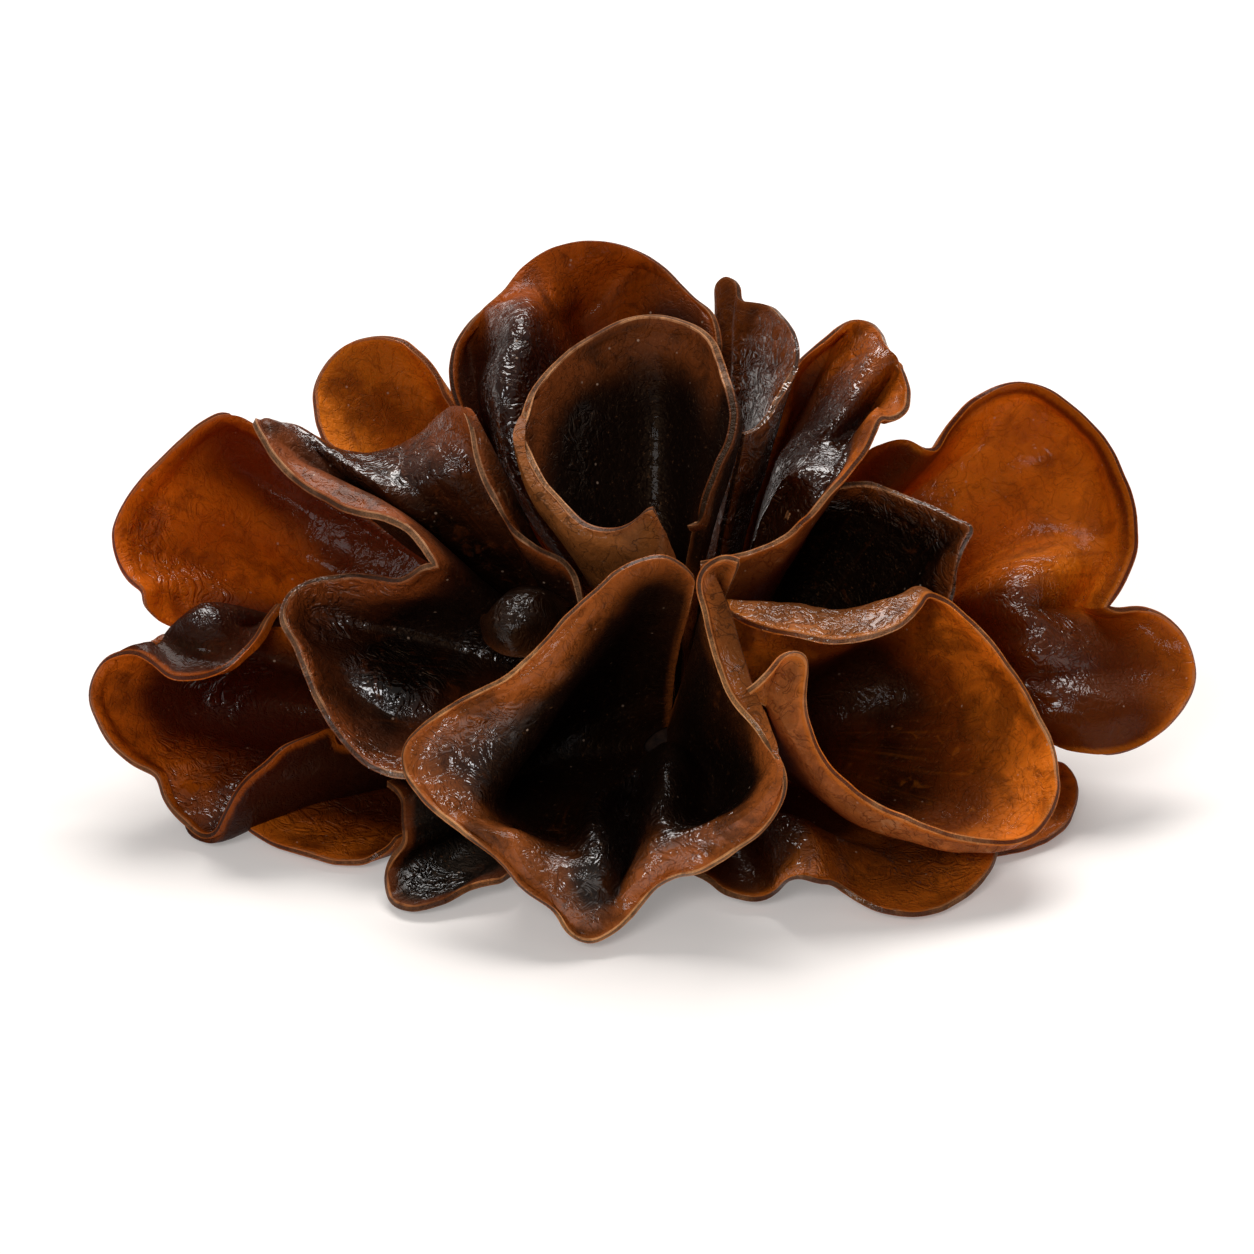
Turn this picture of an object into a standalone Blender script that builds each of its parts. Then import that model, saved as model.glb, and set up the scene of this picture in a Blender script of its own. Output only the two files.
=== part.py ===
"""Wood ear mushroom: one clump of thin ears on a knotty root that is cut off flat.

World axes, in metres: +Z up, the cut lies on z = 0 around the origin, -Y is the front.
Each ear is a sheet that runs from a small foot on the knot to a free rim. A rim is given as
the front view shows it: (across, up, near) in mm, where near points at the viewer.
"""

import math

import bpy
import numpy as np

# The front view
VIEW_TILT = math.radians(27.0)
STAND_OFF = 900.0
KNOT_ACROSS = 4.6
KNOT_UP = -15.0
KNOT_NEAR = -14.9

# The knot and the ears, in mm
KNOT_RADIUS = 11.0
KNOT_HEIGHT = 10.5
RIM_THICK = 1.3
FOOT_THICK = 1.4
GAP = 0.3
FLOOR_CLEAR = 0.35

# How soft the ruffles of a rim become at the foot and halfway up, as shares of the rim's length
FOOT_SOFT = 0.28
HALFWAY_SOFT = 0.035

# How far a pin draws the sheet with it: in mm along the rim, and as a share from foot to rim
PIN_REACH = 9.0
PIN_REACH_V = 0.2

EAR_BROWN = (0.20, 0.07, 0.02, 1.0)
EAR_AMBER = (0.45, 0.17, 0.03, 1.0)
KNOT_BROWN = (0.08, 0.04, 0.02, 1.0)


def turned(across, up, near):
    """A direction of the front view, turned into the world."""
    return np.stack(
        [
            across,
            up * math.sin(VIEW_TILT) - near * math.cos(VIEW_TILT),
            up * math.cos(VIEW_TILT) + near * math.sin(VIEW_TILT),
        ],
        axis=-1,
    )


def seen(points):
    """World places of points that the front view shows at (across, up), near mm before its middle."""
    across, up, near = np.asarray(points, float).T
    shrink = (STAND_OFF - near) / STAND_OFF
    middle = turned(KNOT_ACROSS, KNOT_UP, KNOT_NEAR)
    return turned(across * shrink, up * shrink, near) - middle


def spread(points, count):
    """Count points evenly along a line of points, and the share of the length at each given point."""
    steps = np.linalg.norm(np.diff(points, axis=0), axis=1)
    share = np.concatenate([[0.0], np.cumsum(steps)]) / steps.sum()
    wanted = np.linspace(0.0, 1.0, count)
    even = [np.interp(wanted, share, points[:, axis]) for axis in range(3)]
    return np.stack(even, axis=1), share


def through(stations, count):
    """A smooth line through the stations, and the share of its length at each station."""
    before = 2 * stations[0] - stations[1]
    after = 2 * stations[-1] - stations[-2]
    padded = np.vstack([before, stations, after])
    line = []
    parts = 12
    for i in range(1, len(padded) - 2):
        p0, p1, p2, p3 = padded[i - 1 : i + 3]
        for t in np.arange(parts) / parts:
            line.append(
                p1
                + 0.5 * t * (p2 - p0)
                + t * t * (p0 - 2.5 * p1 + 2 * p2 - 0.5 * p3)
                + t * t * t * (1.5 * p1 - 0.5 * p0 - 1.5 * p2 + 0.5 * p3)
            )
    line.append(padded[-2])
    even, share = spread(np.array(line), count)
    return even, share[::parts]


def softened(line, width):
    """The line with its ruffles smoothed away over this share of its length. Its ends stay."""
    count = len(line)
    reach = int(3 * width * count)
    if reach < 1:
        return line
    reach = min(reach, count - 1)
    head = 2 * line[0] - line[reach:0:-1]
    tail = 2 * line[-1] - line[-2 : -reach - 2 : -1]
    long = np.vstack([head, line, tail])
    offsets = np.arange(-reach, reach + 1) / (width * count)
    weights = np.exp(-0.5 * offsets**2)
    weights /= weights.sum()
    smooth = [np.convolve(long[:, axis], weights, "valid") for axis in range(3)]
    return np.stack(smooth, axis=1)


def held_at(points, station_share, length, pins):
    """Shifts a sheet smoothly so that it passes through each pin: (station, v, place in the view)."""
    rows = points.shape[0] - 1
    fine = points.shape[1] - 1
    station = np.array([pin[0] for pin in pins])
    at_share = np.interp(station, np.arange(len(station_share)), station_share)
    at_v = np.array([pin[1] for pin in pins])
    now = points[np.round(at_v * rows).astype(int), np.round(at_share * fine).astype(int)]
    miss = seen([pin[2] for pin in pins]) - now

    def pull(share, v):
        off = (share[:, None] - at_share[None, :]) * length / PIN_REACH
        apart = np.hypot(off, (v[:, None] - at_v[None, :]) / PIN_REACH_V)
        return (1 + 1.73 * apart) * np.exp(-1.73 * apart) * np.minimum(1.0, 5 * v)[:, None]

    give = 0.004 * np.eye(len(pins))
    weights = np.linalg.solve(pull(at_share, at_v) + give, miss)
    share = np.linspace(0.0, 1.0, fine + 1)
    for row, v in enumerate(np.linspace(0.0, 1.0, rows + 1)):
        near_rim = np.clip((v - 0.9) / 0.1, 0.0, 1.0)
        hold = 1 - near_rim * near_rim * (3 - 2 * near_rim)
        points[row] += pull(share, np.full(fine + 1, v)) @ weights * hold
    return points


def sheet(rim, foot, foot_size, soft, bulge, sag, pulls, pins, across_count, along_count):
    """Points of an ear's middle surface, as rows from the foot to the rim."""
    fine = 361
    row_parts = 7
    line, station_share = through(seen(rim), fine)
    length = np.linalg.norm(np.diff(line, axis=0), axis=1).sum()
    turn, rise = math.radians(foot[0]), math.radians(foot[1])
    outward = np.array(
        [
            math.sin(turn) * math.cos(rise),
            -math.cos(turn) * math.cos(rise),
            math.sin(rise),
        ]
    )
    foot_middle = outward * (KNOT_RADIUS + GAP)
    base = softened(line, soft)
    fade = math.log2(soft / HALFWAY_SOFT)
    middle = base.mean(axis=0)
    foot_line = foot_middle + foot_size * (base - middle)
    foot_line *= (KNOT_RADIUS + GAP) / np.linalg.norm(foot_line, axis=1)[:, None]
    share = np.linspace(0.0, 1.0, fine)
    sag_world = turned(*sag)
    rows = []
    for v in np.linspace(0.0, 1.0, along_count * row_parts + 1):
        ruffled = softened(line, soft * (1 - v) ** fade)
        row = foot_line * (1 - v) + ruffled * v
        spine = foot_middle * (1 - v) + middle * v
        hump = 4 * v * (1 - v)
        row = spine + (row - spine) * (1 + bulge * hump)
        row = row + sag_world * (hump * (1 - (2 * share - 1) ** 4))[:, None]
        for station, at, reach, reach_along, push in pulls:
            place = np.interp(station, np.arange(len(station_share)), station_share)
            off = (share - place) * length / reach
            along = (v - at) / reach_along
            strength = np.exp(-0.5 * (off**2 + along**2)) * min(1.0, 4 * v)
            row = row + turned(*push) * strength[:, None]
        rows.append(row)
    points = np.array(rows)
    if pins:
        points = held_at(points, station_share, length, pins)
    picked = np.round(np.linspace(0, fine - 1, across_count + 1)).astype(int)
    return points[::row_parts, picked]


def normals(points):
    """Unit normals of a grid of points."""
    along = np.gradient(points, axis=0)
    across = np.gradient(points, axis=1)
    made = np.cross(across, along)
    size = np.linalg.norm(made, axis=2)[:, :, None]
    return made / np.maximum(size, 1e-9)


def cleared(points):
    """Points kept off the knot and above the floor."""
    away = np.linalg.norm(points, axis=2)[:, :, None]
    points = points * np.maximum(1.0, (KNOT_RADIUS + GAP) / away)
    points[:, :, 2] = np.maximum(points[:, :, 2], FLOOR_CLEAR)
    return points


def painted(name, colour):
    material = bpy.data.materials.new(name)
    material.use_nodes = True
    shader = material.node_tree.nodes["Principled BSDF"]
    shader.inputs["Base Color"].default_value = colour
    shader.inputs["Roughness"].default_value = 0.3
    return material


def solid(name, places, faces, colour):
    """An object of its own from points in mm."""
    mesh = bpy.data.meshes.new(name)
    mesh.from_pydata([tuple(p) for p in np.asarray(places) * 0.001], [], faces)
    mesh.materials.append(painted(name, colour))
    made = bpy.data.objects.new(name, mesh)
    bpy.context.scene.collection.objects.link(made)
    return made


def ear(
    name,
    foot,
    rim,
    foot_size=0.12,
    soft=FOOT_SOFT,
    bulge=0.10,
    sag=(0.0, 0.0, 0.0),
    pulls=(),
    pins=(),
    across_count=18,
    along_count=5,
    colour=EAR_BROWN,
):
    """One ear as a closed sheet. foot is (turn from the front to the right, rise), in degrees."""
    points = sheet(rim, foot, foot_size, soft, bulge, sag, pulls, pins, across_count, along_count)
    rows, columns = points.shape[:2]
    thick = np.linspace(FOOT_THICK, RIM_THICK, rows)[:, None, None]
    half = normals(points) * thick / 2
    front = cleared(points + half)
    back = cleared(points - half)
    places = np.vstack([front.reshape(-1, 3), back.reshape(-1, 3)])
    other = rows * columns
    faces = []
    for j in range(rows - 1):
        for i in range(columns - 1):
            a = j * columns + i
            b = a + 1
            c = b + columns
            d = a + columns
            faces.append((a, b, c, d))
            faces.append((other + a, other + d, other + c, other + b))
    for i in range(columns - 1):
        a = i
        b = i + 1
        faces.append((b, a, other + a, other + b))
        a += (rows - 1) * columns
        b += (rows - 1) * columns
        faces.append((a, b, other + b, other + a))
    for j in range(rows - 1):
        a = j * columns
        d = a + columns
        faces.append((a, d, other + d, other + a))
        a += columns - 1
        d += columns - 1
        faces.append((d, a, other + a, other + d))
    return solid(name, places, faces, colour)


def knot():
    """The root: a low dome with a flat cut, a little smaller than the ball the feet stand on."""
    rings = 6
    sides = 24
    places = [(0.0, 0.0, 0.0)]
    for j in range(rings):
        rise = math.radians(90.0 * j / rings)
        for i in range(sides):
            turn = 2 * math.pi * i / sides
            wide = KNOT_RADIUS * math.cos(rise)
            places.append((wide * math.cos(turn), wide * math.sin(turn), KNOT_HEIGHT * math.sin(rise)))
    places.append((0.0, 0.0, KNOT_HEIGHT))
    top = len(places) - 1
    faces = []
    for i in range(sides):
        k = (i + 1) % sides
        faces.append((0, 1 + k, 1 + i))
        for j in range(rings - 1):
            a = 1 + j * sides
            faces.append((a + i, a + k, a + sides + k, a + sides + i))
        a = 1 + (rings - 1) * sides
        faces.append((a + i, a + k, top))
    return solid("knot", places, faces, KNOT_BROWN)


for old in list(bpy.data.objects):
    bpy.data.objects.remove(old, do_unlink=True)

knot()

# Upright cup at the top centre. Its rim runs up the right side, over the top, and down to the beak.
ear(
    "ear_top_cup",
    (2, 77),
    [
        (7.6, 12.3, 7), (8.7, 12.7, 10.5), (9.3, 15.5, 11), (10.8, 19, 10.5), (12.2, 22, 9.5),
        (12.8, 25.2, 8), (12.4, 28.2, 6), (11.3, 31.7, 3), (9.4, 35.1, 1), (6.6, 36.7, -1),
        (3.4, 37.4, -2), (0.2, 37, -2), (-3.1, 35.4, -1), (-6.3, 33.5, 0), (-9.5, 30.5, 2),
        (-11.8, 27.1, 5), (-12.5, 23.4, 8), (-11.8, 20.6, 10), (-10.2, 17.6, 12), (-7.9, 15.1, 13),
        (-5.4, 12.6, 14.5), (-2.6, 11.5, 15.5), (-0.3, 11.9, 16.5), (1.6, 13.3, 18), (2.8, 14.3, 19),
        (3.9, 12.7, 18), (4.7, 10.4, 16), (5.6, 8.4, 14),
    ],
    pins=[
        (16.5, 0.88, (-12.8, 21.3, 9)), (17.6, 0.88, (-12, 17.8, 11)),
        (18.7, 0.88, (-9.7, 14.4, 12.5)), (19.8, 0.88, (-6.9, 11.6, 14)), (21, 0.88, (-3.7, 10, 14.5)),
        (22.4, 0.88, (-0.5, 9.1, 15)), (23.8, 0.88, (2.1, 9.1, 16.5)), (5, 0.88, (13.8, 24.7, 6)),
        (4, 0.88, (13.5, 22, 7)), (3, 0.88, (12.1, 18.5, 8.5)), (2, 0.88, (10.6, 15.1, 9.5)),
        (1, 0.9, (9.4, 12.8, 10)), (10, 0.6, (3.4, 25.2, -6)), (13, 0.6, (-4.9, 25.2, -2)),
        (7, 0.6, (8.5, 25.2, 0)),
    ],
    soft=0.1,
    bulge=0.05,
    across_count=26,
    along_count=6,
)

# Big ear behind the top cup
ear(
    "ear_back_fan",
    (190, 78),
    [
        (-19.4, 23.8, -3), (-20.8, 28.4, -5), (-21.1, 31.9, -8), (-19.9, 35.2, -10), (-17.5, 38, -12),
        (-14.9, 40.2, -14), (-12.8, 42.9, -16), (-9.8, 45.1, -18), (-6.1, 46.2, -19),
        (-2.4, 46.2, -20), (0.9, 45.2, -20), (4.3, 43.2, -18), (7.8, 39.7, -16), (10.3, 37.3, -13),
        (11.1, 33.7, -11),
    ],
    pins=[
        (5.7, 0.9, (-11.3, 39.7, -11)), (5.4, 0.8, (-11.7, 37.2, -4.5)),
        (4.9, 0.68, (-12.4, 33.5, -0.5)), (4.2, 0.55, (-13.6, 29.3, 2)),
        (3.4, 0.42, (-13.7, 24.2, 3.5)), (7, 0.9, (-7.3, 39.9, -20)), (6.6, 0.8, (-8.2, 36.7, -19)),
        (6.4, 0.66, (-8.2, 33, -15)), (5.8, 0.52, (-8.4, 28.4, -10)), (3.6, 0.86, (-16.7, 36.7, -11)),
        (2.9, 0.74, (-16.7, 32.1, -8)), (10, 0.7, (0.4, 36.2, -21)), (12, 0.75, (5.9, 35.3, -16)),
    ],
    soft=0.2,
    bulge=0.15,
    across_count=18,
)

# Small glossy ear with a paddle-shaped bud
ear(
    "ear_bud",
    (98, 72),
    [
        (10.2, 39.2, -19), (10.1, 40.8, -19), (11.4, 42, -18), (12.7, 41.2, -17), (13.3, 39.2, -16),
        (14.8, 38.9, -15), (16.9, 38.5, -13), (19, 36.6, -10), (20.2, 34.1, -7), (20.3, 31.8, -5),
        (19, 28.6, -3), (17.4, 25.9, -1), (15.6, 23.8, 0), (13.9, 23.2, 1),
    ],
    pulls=[
        (0, 0.5, 8, 0.3, (2.5, 0, 0)),
        (8, 0.75, 5, 0.2, (0, 0, 3)),
    ],
    soft=0.1,
    bulge=0,
    across_count=18,
)

# Cup at the upper right, with a long near rim
ear(
    "ear_upper_right",
    (94, 63),
    [
        (15.7, 23.5, -12), (17.5, 25.1, -13), (19, 28.1, -14), (20.1, 31.1, -15), (21.9, 32.9, -15),
        (24.2, 34.9, -15), (26.1, 36.5, -15), (27.7, 36.9, -14), (29.5, 36.4, -12.5),
        (30.6, 35.2, -11), (31.2, 33.6, -9), (32.6, 31.8, -7), (33.7, 29, -4), (33.5, 26.7, -1),
        (32.5, 25.3, 1), (31.4, 24.9, 2), (30.5, 24.9, 3.5), (29.6, 23.2, 5), (28.4, 20.9, 6.5),
        (26.5, 18.4, 8), (24.5, 16.1, 9), (22.4, 13.5, 10), (20.9, 12.6, 10.5), (19.6, 11, 10),
        (16.8, 9.5, 10), (13.4, 8.5, 10), (8.8, 7.7, 9),
    ],
    pins=[
        (5, 0.8, (23.5, 31.3, -17)), (6, 0.6, (22.1, 26.2, -15)), (7.5, 0.84, (26.1, 32.5, -16)),
        (9.6, 0.86, (29.1, 32, -6.5)), (9.2, 0.72, (27, 28.5, -5)), (8.8, 0.6, (24.9, 25.1, -4)),
        (12, 0.84, (31.4, 29.5, -8)), (12.5, 0.65, (27.9, 24.4, -6)), (12, 0.42, (20.5, 18.6, 2.5)),
        (15, 0.45, (23.1, 17.2, 4)), (18, 0.6, (24.7, 17, 4)), (9, 0.4, (19.1, 20.7, -8)),
    ],
    foot_size=0.26,
    soft=0.2,
    bulge=0.03,
    across_count=24,
    along_count=6,
)

# Dark pocket right of the middle
ear(
    "ear_pocket",
    (84, 22),
    [
        (19.6, 13.1, 0), (22.2, 14.9, 0), (24.8, 16.1, 0), (26.8, 16.7, 0), (28.9, 16.8, 0),
        (32.2, 16.1, 1), (35.8, 14.6, 3), (39, 13.1, 5), (41.5, 12, 7), (40.6, 10.1, 7),
        (39.7, 7.8, 6), (39.2, 5, 4), (38.5, 2, 3), (36.4, -0.4, 2),
    ],
    pulls=[
        (0, 0.5, 8, 0.3, (-1, 2.5, 0)),
    ],
    foot_size=0.2,
    bulge=0,
    sag=(0, 0, -4),
    across_count=16,
)

# Amber dish at the far right, with its lower lobe
ear(
    "ear_far_right",
    (118, 31),
    [
        (28.9, 20.3, -11), (30.8, 22, -10), (33.6, 22.4, -9), (35.8, 21.4, -7), (37.1, 21.5, -8),
        (38.4, 23.6, -10), (40.6, 26.3, -12), (43.6, 28.4, -13), (46.9, 29.3, -13), (50.3, 28.6, -12),
        (53.5, 26.4, -11), (56.5, 23.4, -9), (58.9, 19.6, -7), (60.5, 15.6, -5), (61.1, 11.6, -3),
        (60.7, 8, -2), (59.4, 4.9, -1), (57.7, 2.4, -1), (59.4, 2, -1), (61.8, 2.2, -2),
        (64.8, 1.1, -2), (67.2, -1.6, -2), (68.3, -5.8, -1), (67.2, -9.2, 0), (64.7, -12.2, 2),
        (61.6, -14.3, 3), (58.2, -15.4, 4), (55, -15, 4), (51.7, -13.9, 2), (48, -10.6, -1),
    ],
    pins=[
        (15.5, 0.7, (45.7, 5.6, 1)), (18, 0.7, (46.4, 0.8, 4)), (20.5, 0.7, (47, -3.4, 5)),
        (23, 0.72, (49.1, -6.8, 5)), (25.5, 0.8, (53.2, -9.7, 6)), (14.5, 0.57, (40.9, 5, -10)),
        (18, 0.57, (40.9, 0.2, -10)), (20, 0.84, (55, -2.2, 0)), (22, 0.85, (59.2, -5.8, 0)),
        (11, 0.75, (49, 19.4, -16)), (7, 0.75, (40, 21.2, -15)), (14, 0.8, (52.6, 9.8, -9)),
    ],
    foot_size=0.26,
    bulge=0.15,
    across_count=30,
    along_count=6,
    colour=EAR_AMBER,
)

# Big cup at the right front
ear(
    "ear_front_right",
    (52, 26),
    [
        (12.1, 2, 13), (13.6, 1, 16), (15.6, 0, 17.5), (18.7, -0.8, 18), (21.4, -1.2, 18),
        (24, -1.6, 18), (27.1, -1.6, 17), (30.2, -1.1, 16), (33.4, 0.5, 15), (34.9, 2.3, 13),
        (36.1, 4, 11), (37.8, 3.2, 10), (39.6, 2, 10), (42.2, -0.2, 10), (44.8, -3.4, 10),
        (47.2, -6.8, 10), (49.2, -10.2, 11), (50.8, -13.6, 12), (51.6, -16.7, 14), (51.8, -19.6, 16),
        (51, -22.3, 18), (49.6, -24.2, 20), (47.4, -25.6, 21.5), (44.8, -26, 22.5),
        (41.6, -25.6, 23.5), (38.2, -24.8, 24.5), (34.6, -23.6, 25.5), (31, -22, 26),
        (28, -20.2, 26.5), (25.3, -18, 27), (23.4, -15.6, 27.5), (22.2, -13, 28), (21.5, -10.2, 28.5),
        (21.4, -7.6, 29), (21.7, -4.9, 29.5), (21.5, -3.5, 30), (20.3, -2.9, 29.5), (18.7, -3.5, 29),
        (17.2, -5.4, 28),
    ],
    pins=[
        (1, 0.9, (13.3, 3.2, 12)), (2.5, 0.9, (17.2, 2.9, 11.5)), (4, 0.9, (21.4, 2.5, 11.5)),
        (5.5, 0.9, (25.3, 1.9, 11.5)), (6.5, 0.9, (28.4, 2.3, 11.5)), (7.5, 0.9, (31.3, 3.2, 11.5)),
        (8.5, 0.92, (33.4, 3.8, 11)), (24.5, 0.87, (41.2, -26.6, 20)), (25.5, 0.87, (37.6, -26.3, 21)),
        (26.5, 0.87, (33.7, -25.3, 22)), (27.5, 0.87, (29.8, -24.1, 22)),
        (28.5, 0.87, (26.5, -22.3, 22.5)), (29.5, 0.87, (23.9, -20, 23.5)),
        (30.5, 0.87, (21.7, -17.3, 24)), (31.5, 0.87, (20.2, -14.6, 25)),
        (32.5, 0.87, (18.5, -12.2, 25.5)), (33.5, 0.87, (16.9, -10.1, 25.5)),
        (35.5, 0.88, (16.2, -9, 26)), (14, 0.6, (36.4, -8.8, 0)), (18, 0.6, (37, -17.2, 6)),
        (12, 0.6, (31.6, -4, -1)),
    ],
    soft=0.08,
    across_count=32,
    along_count=6,
)

# Big ruffled funnel at the front
ear(
    "ear_front",
    (-5, 32),
    [
        (13.4, 7.9, 35), (11.8, 8.5, 34.5), (9.6, 7.2, 33.5), (8.9, 5.3, 32.5), (9.4, 1.7, 32),
        (9.8, -0.7, 32), (11, -4.6, 32), (13, -8.9, 33), (15.8, -12.7, 34), (18.5, -16.6, 35),
        (19, -19.6, 35.5), (18, -22.2, 35), (15.7, -25, 34.5), (12.1, -27.5, 33.5), (8.4, -29.5, 32.5),
        (5.8, -30, 31.5), (3.4, -31.4, 31.5), (0.6, -34.6, 32), (-2.6, -37.3, 33), (-5, -37.9, 33),
        (-7.2, -36.7, 33), (-8.9, -34, 33), (-12.4, -31.4, 33), (-15.8, -27.7, 32), (-19.8, -24.6, 31),
        (-23.6, -21.5, 29), (-26.3, -18.1, 27), (-26.9, -15, 26), (-25.1, -12.4, 26), (-21, -9.5, 27),
        (-16.2, -7.2, 28), (-11.6, -3.6, 29), (-7.4, 1.1, 29), (-3.5, 4.8, 28), (0.4, 7.6, 27),
        (4.1, 8.5, 26), (6.7, 7.4, 24), (8.2, 5.6, 22),
    ],
    pins=[
        (25.2, 0.62, (-17.9, -21.5, 27)), (26, 0.5, (-14.9, -18.5, 22)), (26, 0.32, (-15.2, -18.1, 9)),
        (27, 0.5, (-12, -14.6, 21)), (27, 0.32, (-13.1, -15, 8)), (29, 0.5, (-8.5, -9, 22)),
        (29, 0.33, (-9.7, -10.2, 9)), (31, 0.6, (-4.7, -4.4, 23)), (31, 0.42, (-5.3, -5.8, 10)),
        (33, 0.75, (-0.6, 1.4, 23)), (33, 0.5, (-0.6, -1.6, 10)), (24, 0.88, (-18.1, -24.2, 30.5)),
        (23, 0.88, (-13.8, -25.3, 32)), (21.5, 0.88, (-10.3, -30, 33.5)), (23, 0.6, (-8.6, -26.2, 23)),
        (18.6, 0.85, (-3.2, -33.1, 32)), (18.6, 0.7, (-2.2, -29, 30)), (18.6, 0.55, (-2.8, -25.2, 26)),
        (18.6, 0.4, (-3.6, -21.4, 18)), (16.6, 0.75, (1, -27.7, 22)), (16.6, 0.6, (0.8, -24.2, 15)),
        (16.6, 0.45, (1, -20.4, 9)), (15.4, 0.88, (2.5, -28.9, 32.5)), (15.4, 0.75, (2.8, -26.2, 31)),
        (15.4, 0.6, (3.1, -22, 27)), (15.4, 0.45, (3.5, -17.5, 20)), (11.5, 0.6, (12, -20.8, 19)),
        (8.5, 0.6, (10.9, -14.2, 18)), (13.5, 0.6, (7.6, -23.2, 22)), (14, 0.88, (8.4, -25.3, 32)),
        (12.6, 0.88, (12.5, -23.3, 34)), (11, 0.88, (16.2, -20.2, 35)), (4, 0.86, (12, 2.3, 29)),
        (5, 0.86, (13, -0.6, 29)), (6, 0.86, (14.4, -4, 29.5)), (7, 0.86, (15.7, -7.6, 30.5)),
    ],
    foot_size=0.26,
    soft=0.08,
    bulge=-0.05,
    across_count=36,
    along_count=7,
)

# Big ruffled sheet on the left: pointed tip, roof, beak, then the lower cup
ear(
    "ear_left_ruffle",
    (-82, 51),
    [
        (-4.4, 3, 3), (-6.1, 7.7, 5), (-9.8, 9.5, 6), (-13.1, 11.9, 7), (-15.6, 15.8, 9),
        (-17.6, 20, 9), (-18.4, 23.9, 8), (-19.3, 26.2, 7), (-20.6, 24.8, 2), (-22.7, 22.4, -5),
        (-27.2, 19.8, -10), (-33.2, 19.1, -12), (-38.6, 21.2, -11), (-42.6, 23.4, -7),
        (-44.8, 24.8, -2), (-43.8, 22.4, 1), (-41.6, 19.4, 3), (-38.6, 16.7, 5), (-34.4, 14.3, 7),
        (-29.9, 13.3, 9), (-27, 12.1, 11), (-24.6, 9.7, 13), (-22.7, 7.4, 15), (-24.8, 7, 13),
        (-27.2, 5.4, 10), (-30.6, 5.9, 7), (-34.4, 6.1, 5), (-38.3, 5.4, 5), (-40.9, 3.6, 6),
        (-41.5, 1.1, 8), (-40.2, -1.6, 10), (-38.6, -5.2, 12), (-37, -9.1, 13), (-34.7, -13, 14),
        (-31.8, -16, 16), (-29, -17.6, 17), (-26.6, -17.9, 18),
    ],
    pulls=[
        (0, 0.5, 16, 0.3, (-3.9, -1, 0)),
    ],
    pins=[
        (9, 0.88, (-23.2, 24.1, 0)), (10, 0.86, (-28.1, 20.5, -3.5)), (11, 0.86, (-33.6, 20.3, -5)),
        (12, 0.86, (-39, 23.3, -4.5)), (13, 0.9, (-42, 24.4, -3.5)), (10, 0.66, (-26, 16.4, 2)),
        (9, 0.6, (-21.2, 17.6, 4)), (18, 0.8, (-33.8, 16.7, 1)), (26, 0.85, (-33.2, 2, 1)),
        (28, 0.85, (-37.1, 0.2, 2)), (30, 0.8, (-35, -4, 4)), (32, 0.8, (-32.6, -8.8, 6)),
        (31, 0.62, (-29, -7, 6)), (34, 0.85, (-29, -13.6, 10)), (28, 0.55, (-24.8, -2.8, -2)),
        (24, 0.7, (-22.4, 3.2, 3)),
    ],
    foot_size=0.22,
    soft=0.2,
    across_count=38,
    along_count=7,
)

# Amber dish at the far left
ear(
    "ear_far_left",
    (-97, 31),
    [
        (-41, 21.2, -9), (-43.8, 23.4, -8), (-47.9, 25.6, -5), (-50.6, 24.8, -5), (-53.6, 22.4, -4),
        (-57, 19.1, -3), (-59.9, 15.5, -2), (-61.6, 11.4, 0), (-61.1, 8, 1), (-59.6, 5.6, 2),
        (-58.1, 4.3, 2), (-58, 2.6, 1.5), (-56.5, 1, 0), (-53.9, 0.1, -2),
    ],
    pins=[
        (6, 0.6, (-39.2, 8, -12)), (9, 0.7, (-49.4, 5.6, -7)), (3, 0.7, (-44, 17.6, -12)),
    ],
    foot_size=0.14,
    bulge=0.05,
    across_count=18,
    colour=EAR_AMBER,
)

# Folded ear with a bump, lowest at the left
ear(
    "ear_low_left",
    (-67, 16),
    [
        (-41.8, 2.9, 0), (-43.6, 0.5, 3), (-44.9, -1.7, 6), (-46.8, -3.8, 8), (-49.2, -5.5, 10),
        (-51.8, -6.2, 11), (-54.5, -6, 11), (-56.4, -4.9, 10), (-58, -3.7, 9), (-59.6, -3.1, 8),
        (-61.7, -3.5, 7), (-63.5, -5, 6), (-64.4, -7.2, 6), (-64.4, -9.2, 6), (-63.5, -11, 6),
        (-62.9, -12.6, 6), (-61.8, -14.3, 6), (-59.9, -16, 6), (-57.7, -17.2, 6), (-56.3, -18.1, 6),
        (-55.9, -19.8, 6), (-55, -21.6, 6.5), (-53.3, -23.5, 7.5), (-51.5, -25, 8), (-50.2, -25.2, 9),
        (-49.2, -24.5, 10.5), (-48.4, -22.8, 12), (-47.5, -20.8, 13.5), (-46, -18.6, 14.5),
        (-43.8, -16.7, 14.5), (-41.2, -14.5, 14), (-38.4, -13.2, 12), (-36, -12.1, 10),
    ],
    pins=[
        (3, 0.86, (-48.6, 2.2, 1.5)), (5.5, 0.87, (-54.1, 0.1, 4)), (7, 0.88, (-57, -1.9, 6)),
        (9.4, 0.9, (-60.6, -2.9, 7)), (26.5, 0.87, (-46.1, -24.1, 9)),
        (27.5, 0.87, (-44.5, -22.2, 9.5)), (28.6, 0.87, (-42.6, -20, 10)),
        (29.6, 0.87, (-40.1, -18.4, 10.5)), (30.6, 0.87, (-37.4, -16.7, 10)),
        (14, 0.7, (-52.4, -10.6, -3)), (17, 0.7, (-50, -14.2, -2)), (22, 0.7, (-47, -19.6, 4)),
        (12, 0.5, (-42.8, -8.8, -6)),
    ],
    foot_size=0.2,
    across_count=30,
    along_count=6,
    colour=EAR_AMBER,
)

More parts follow.
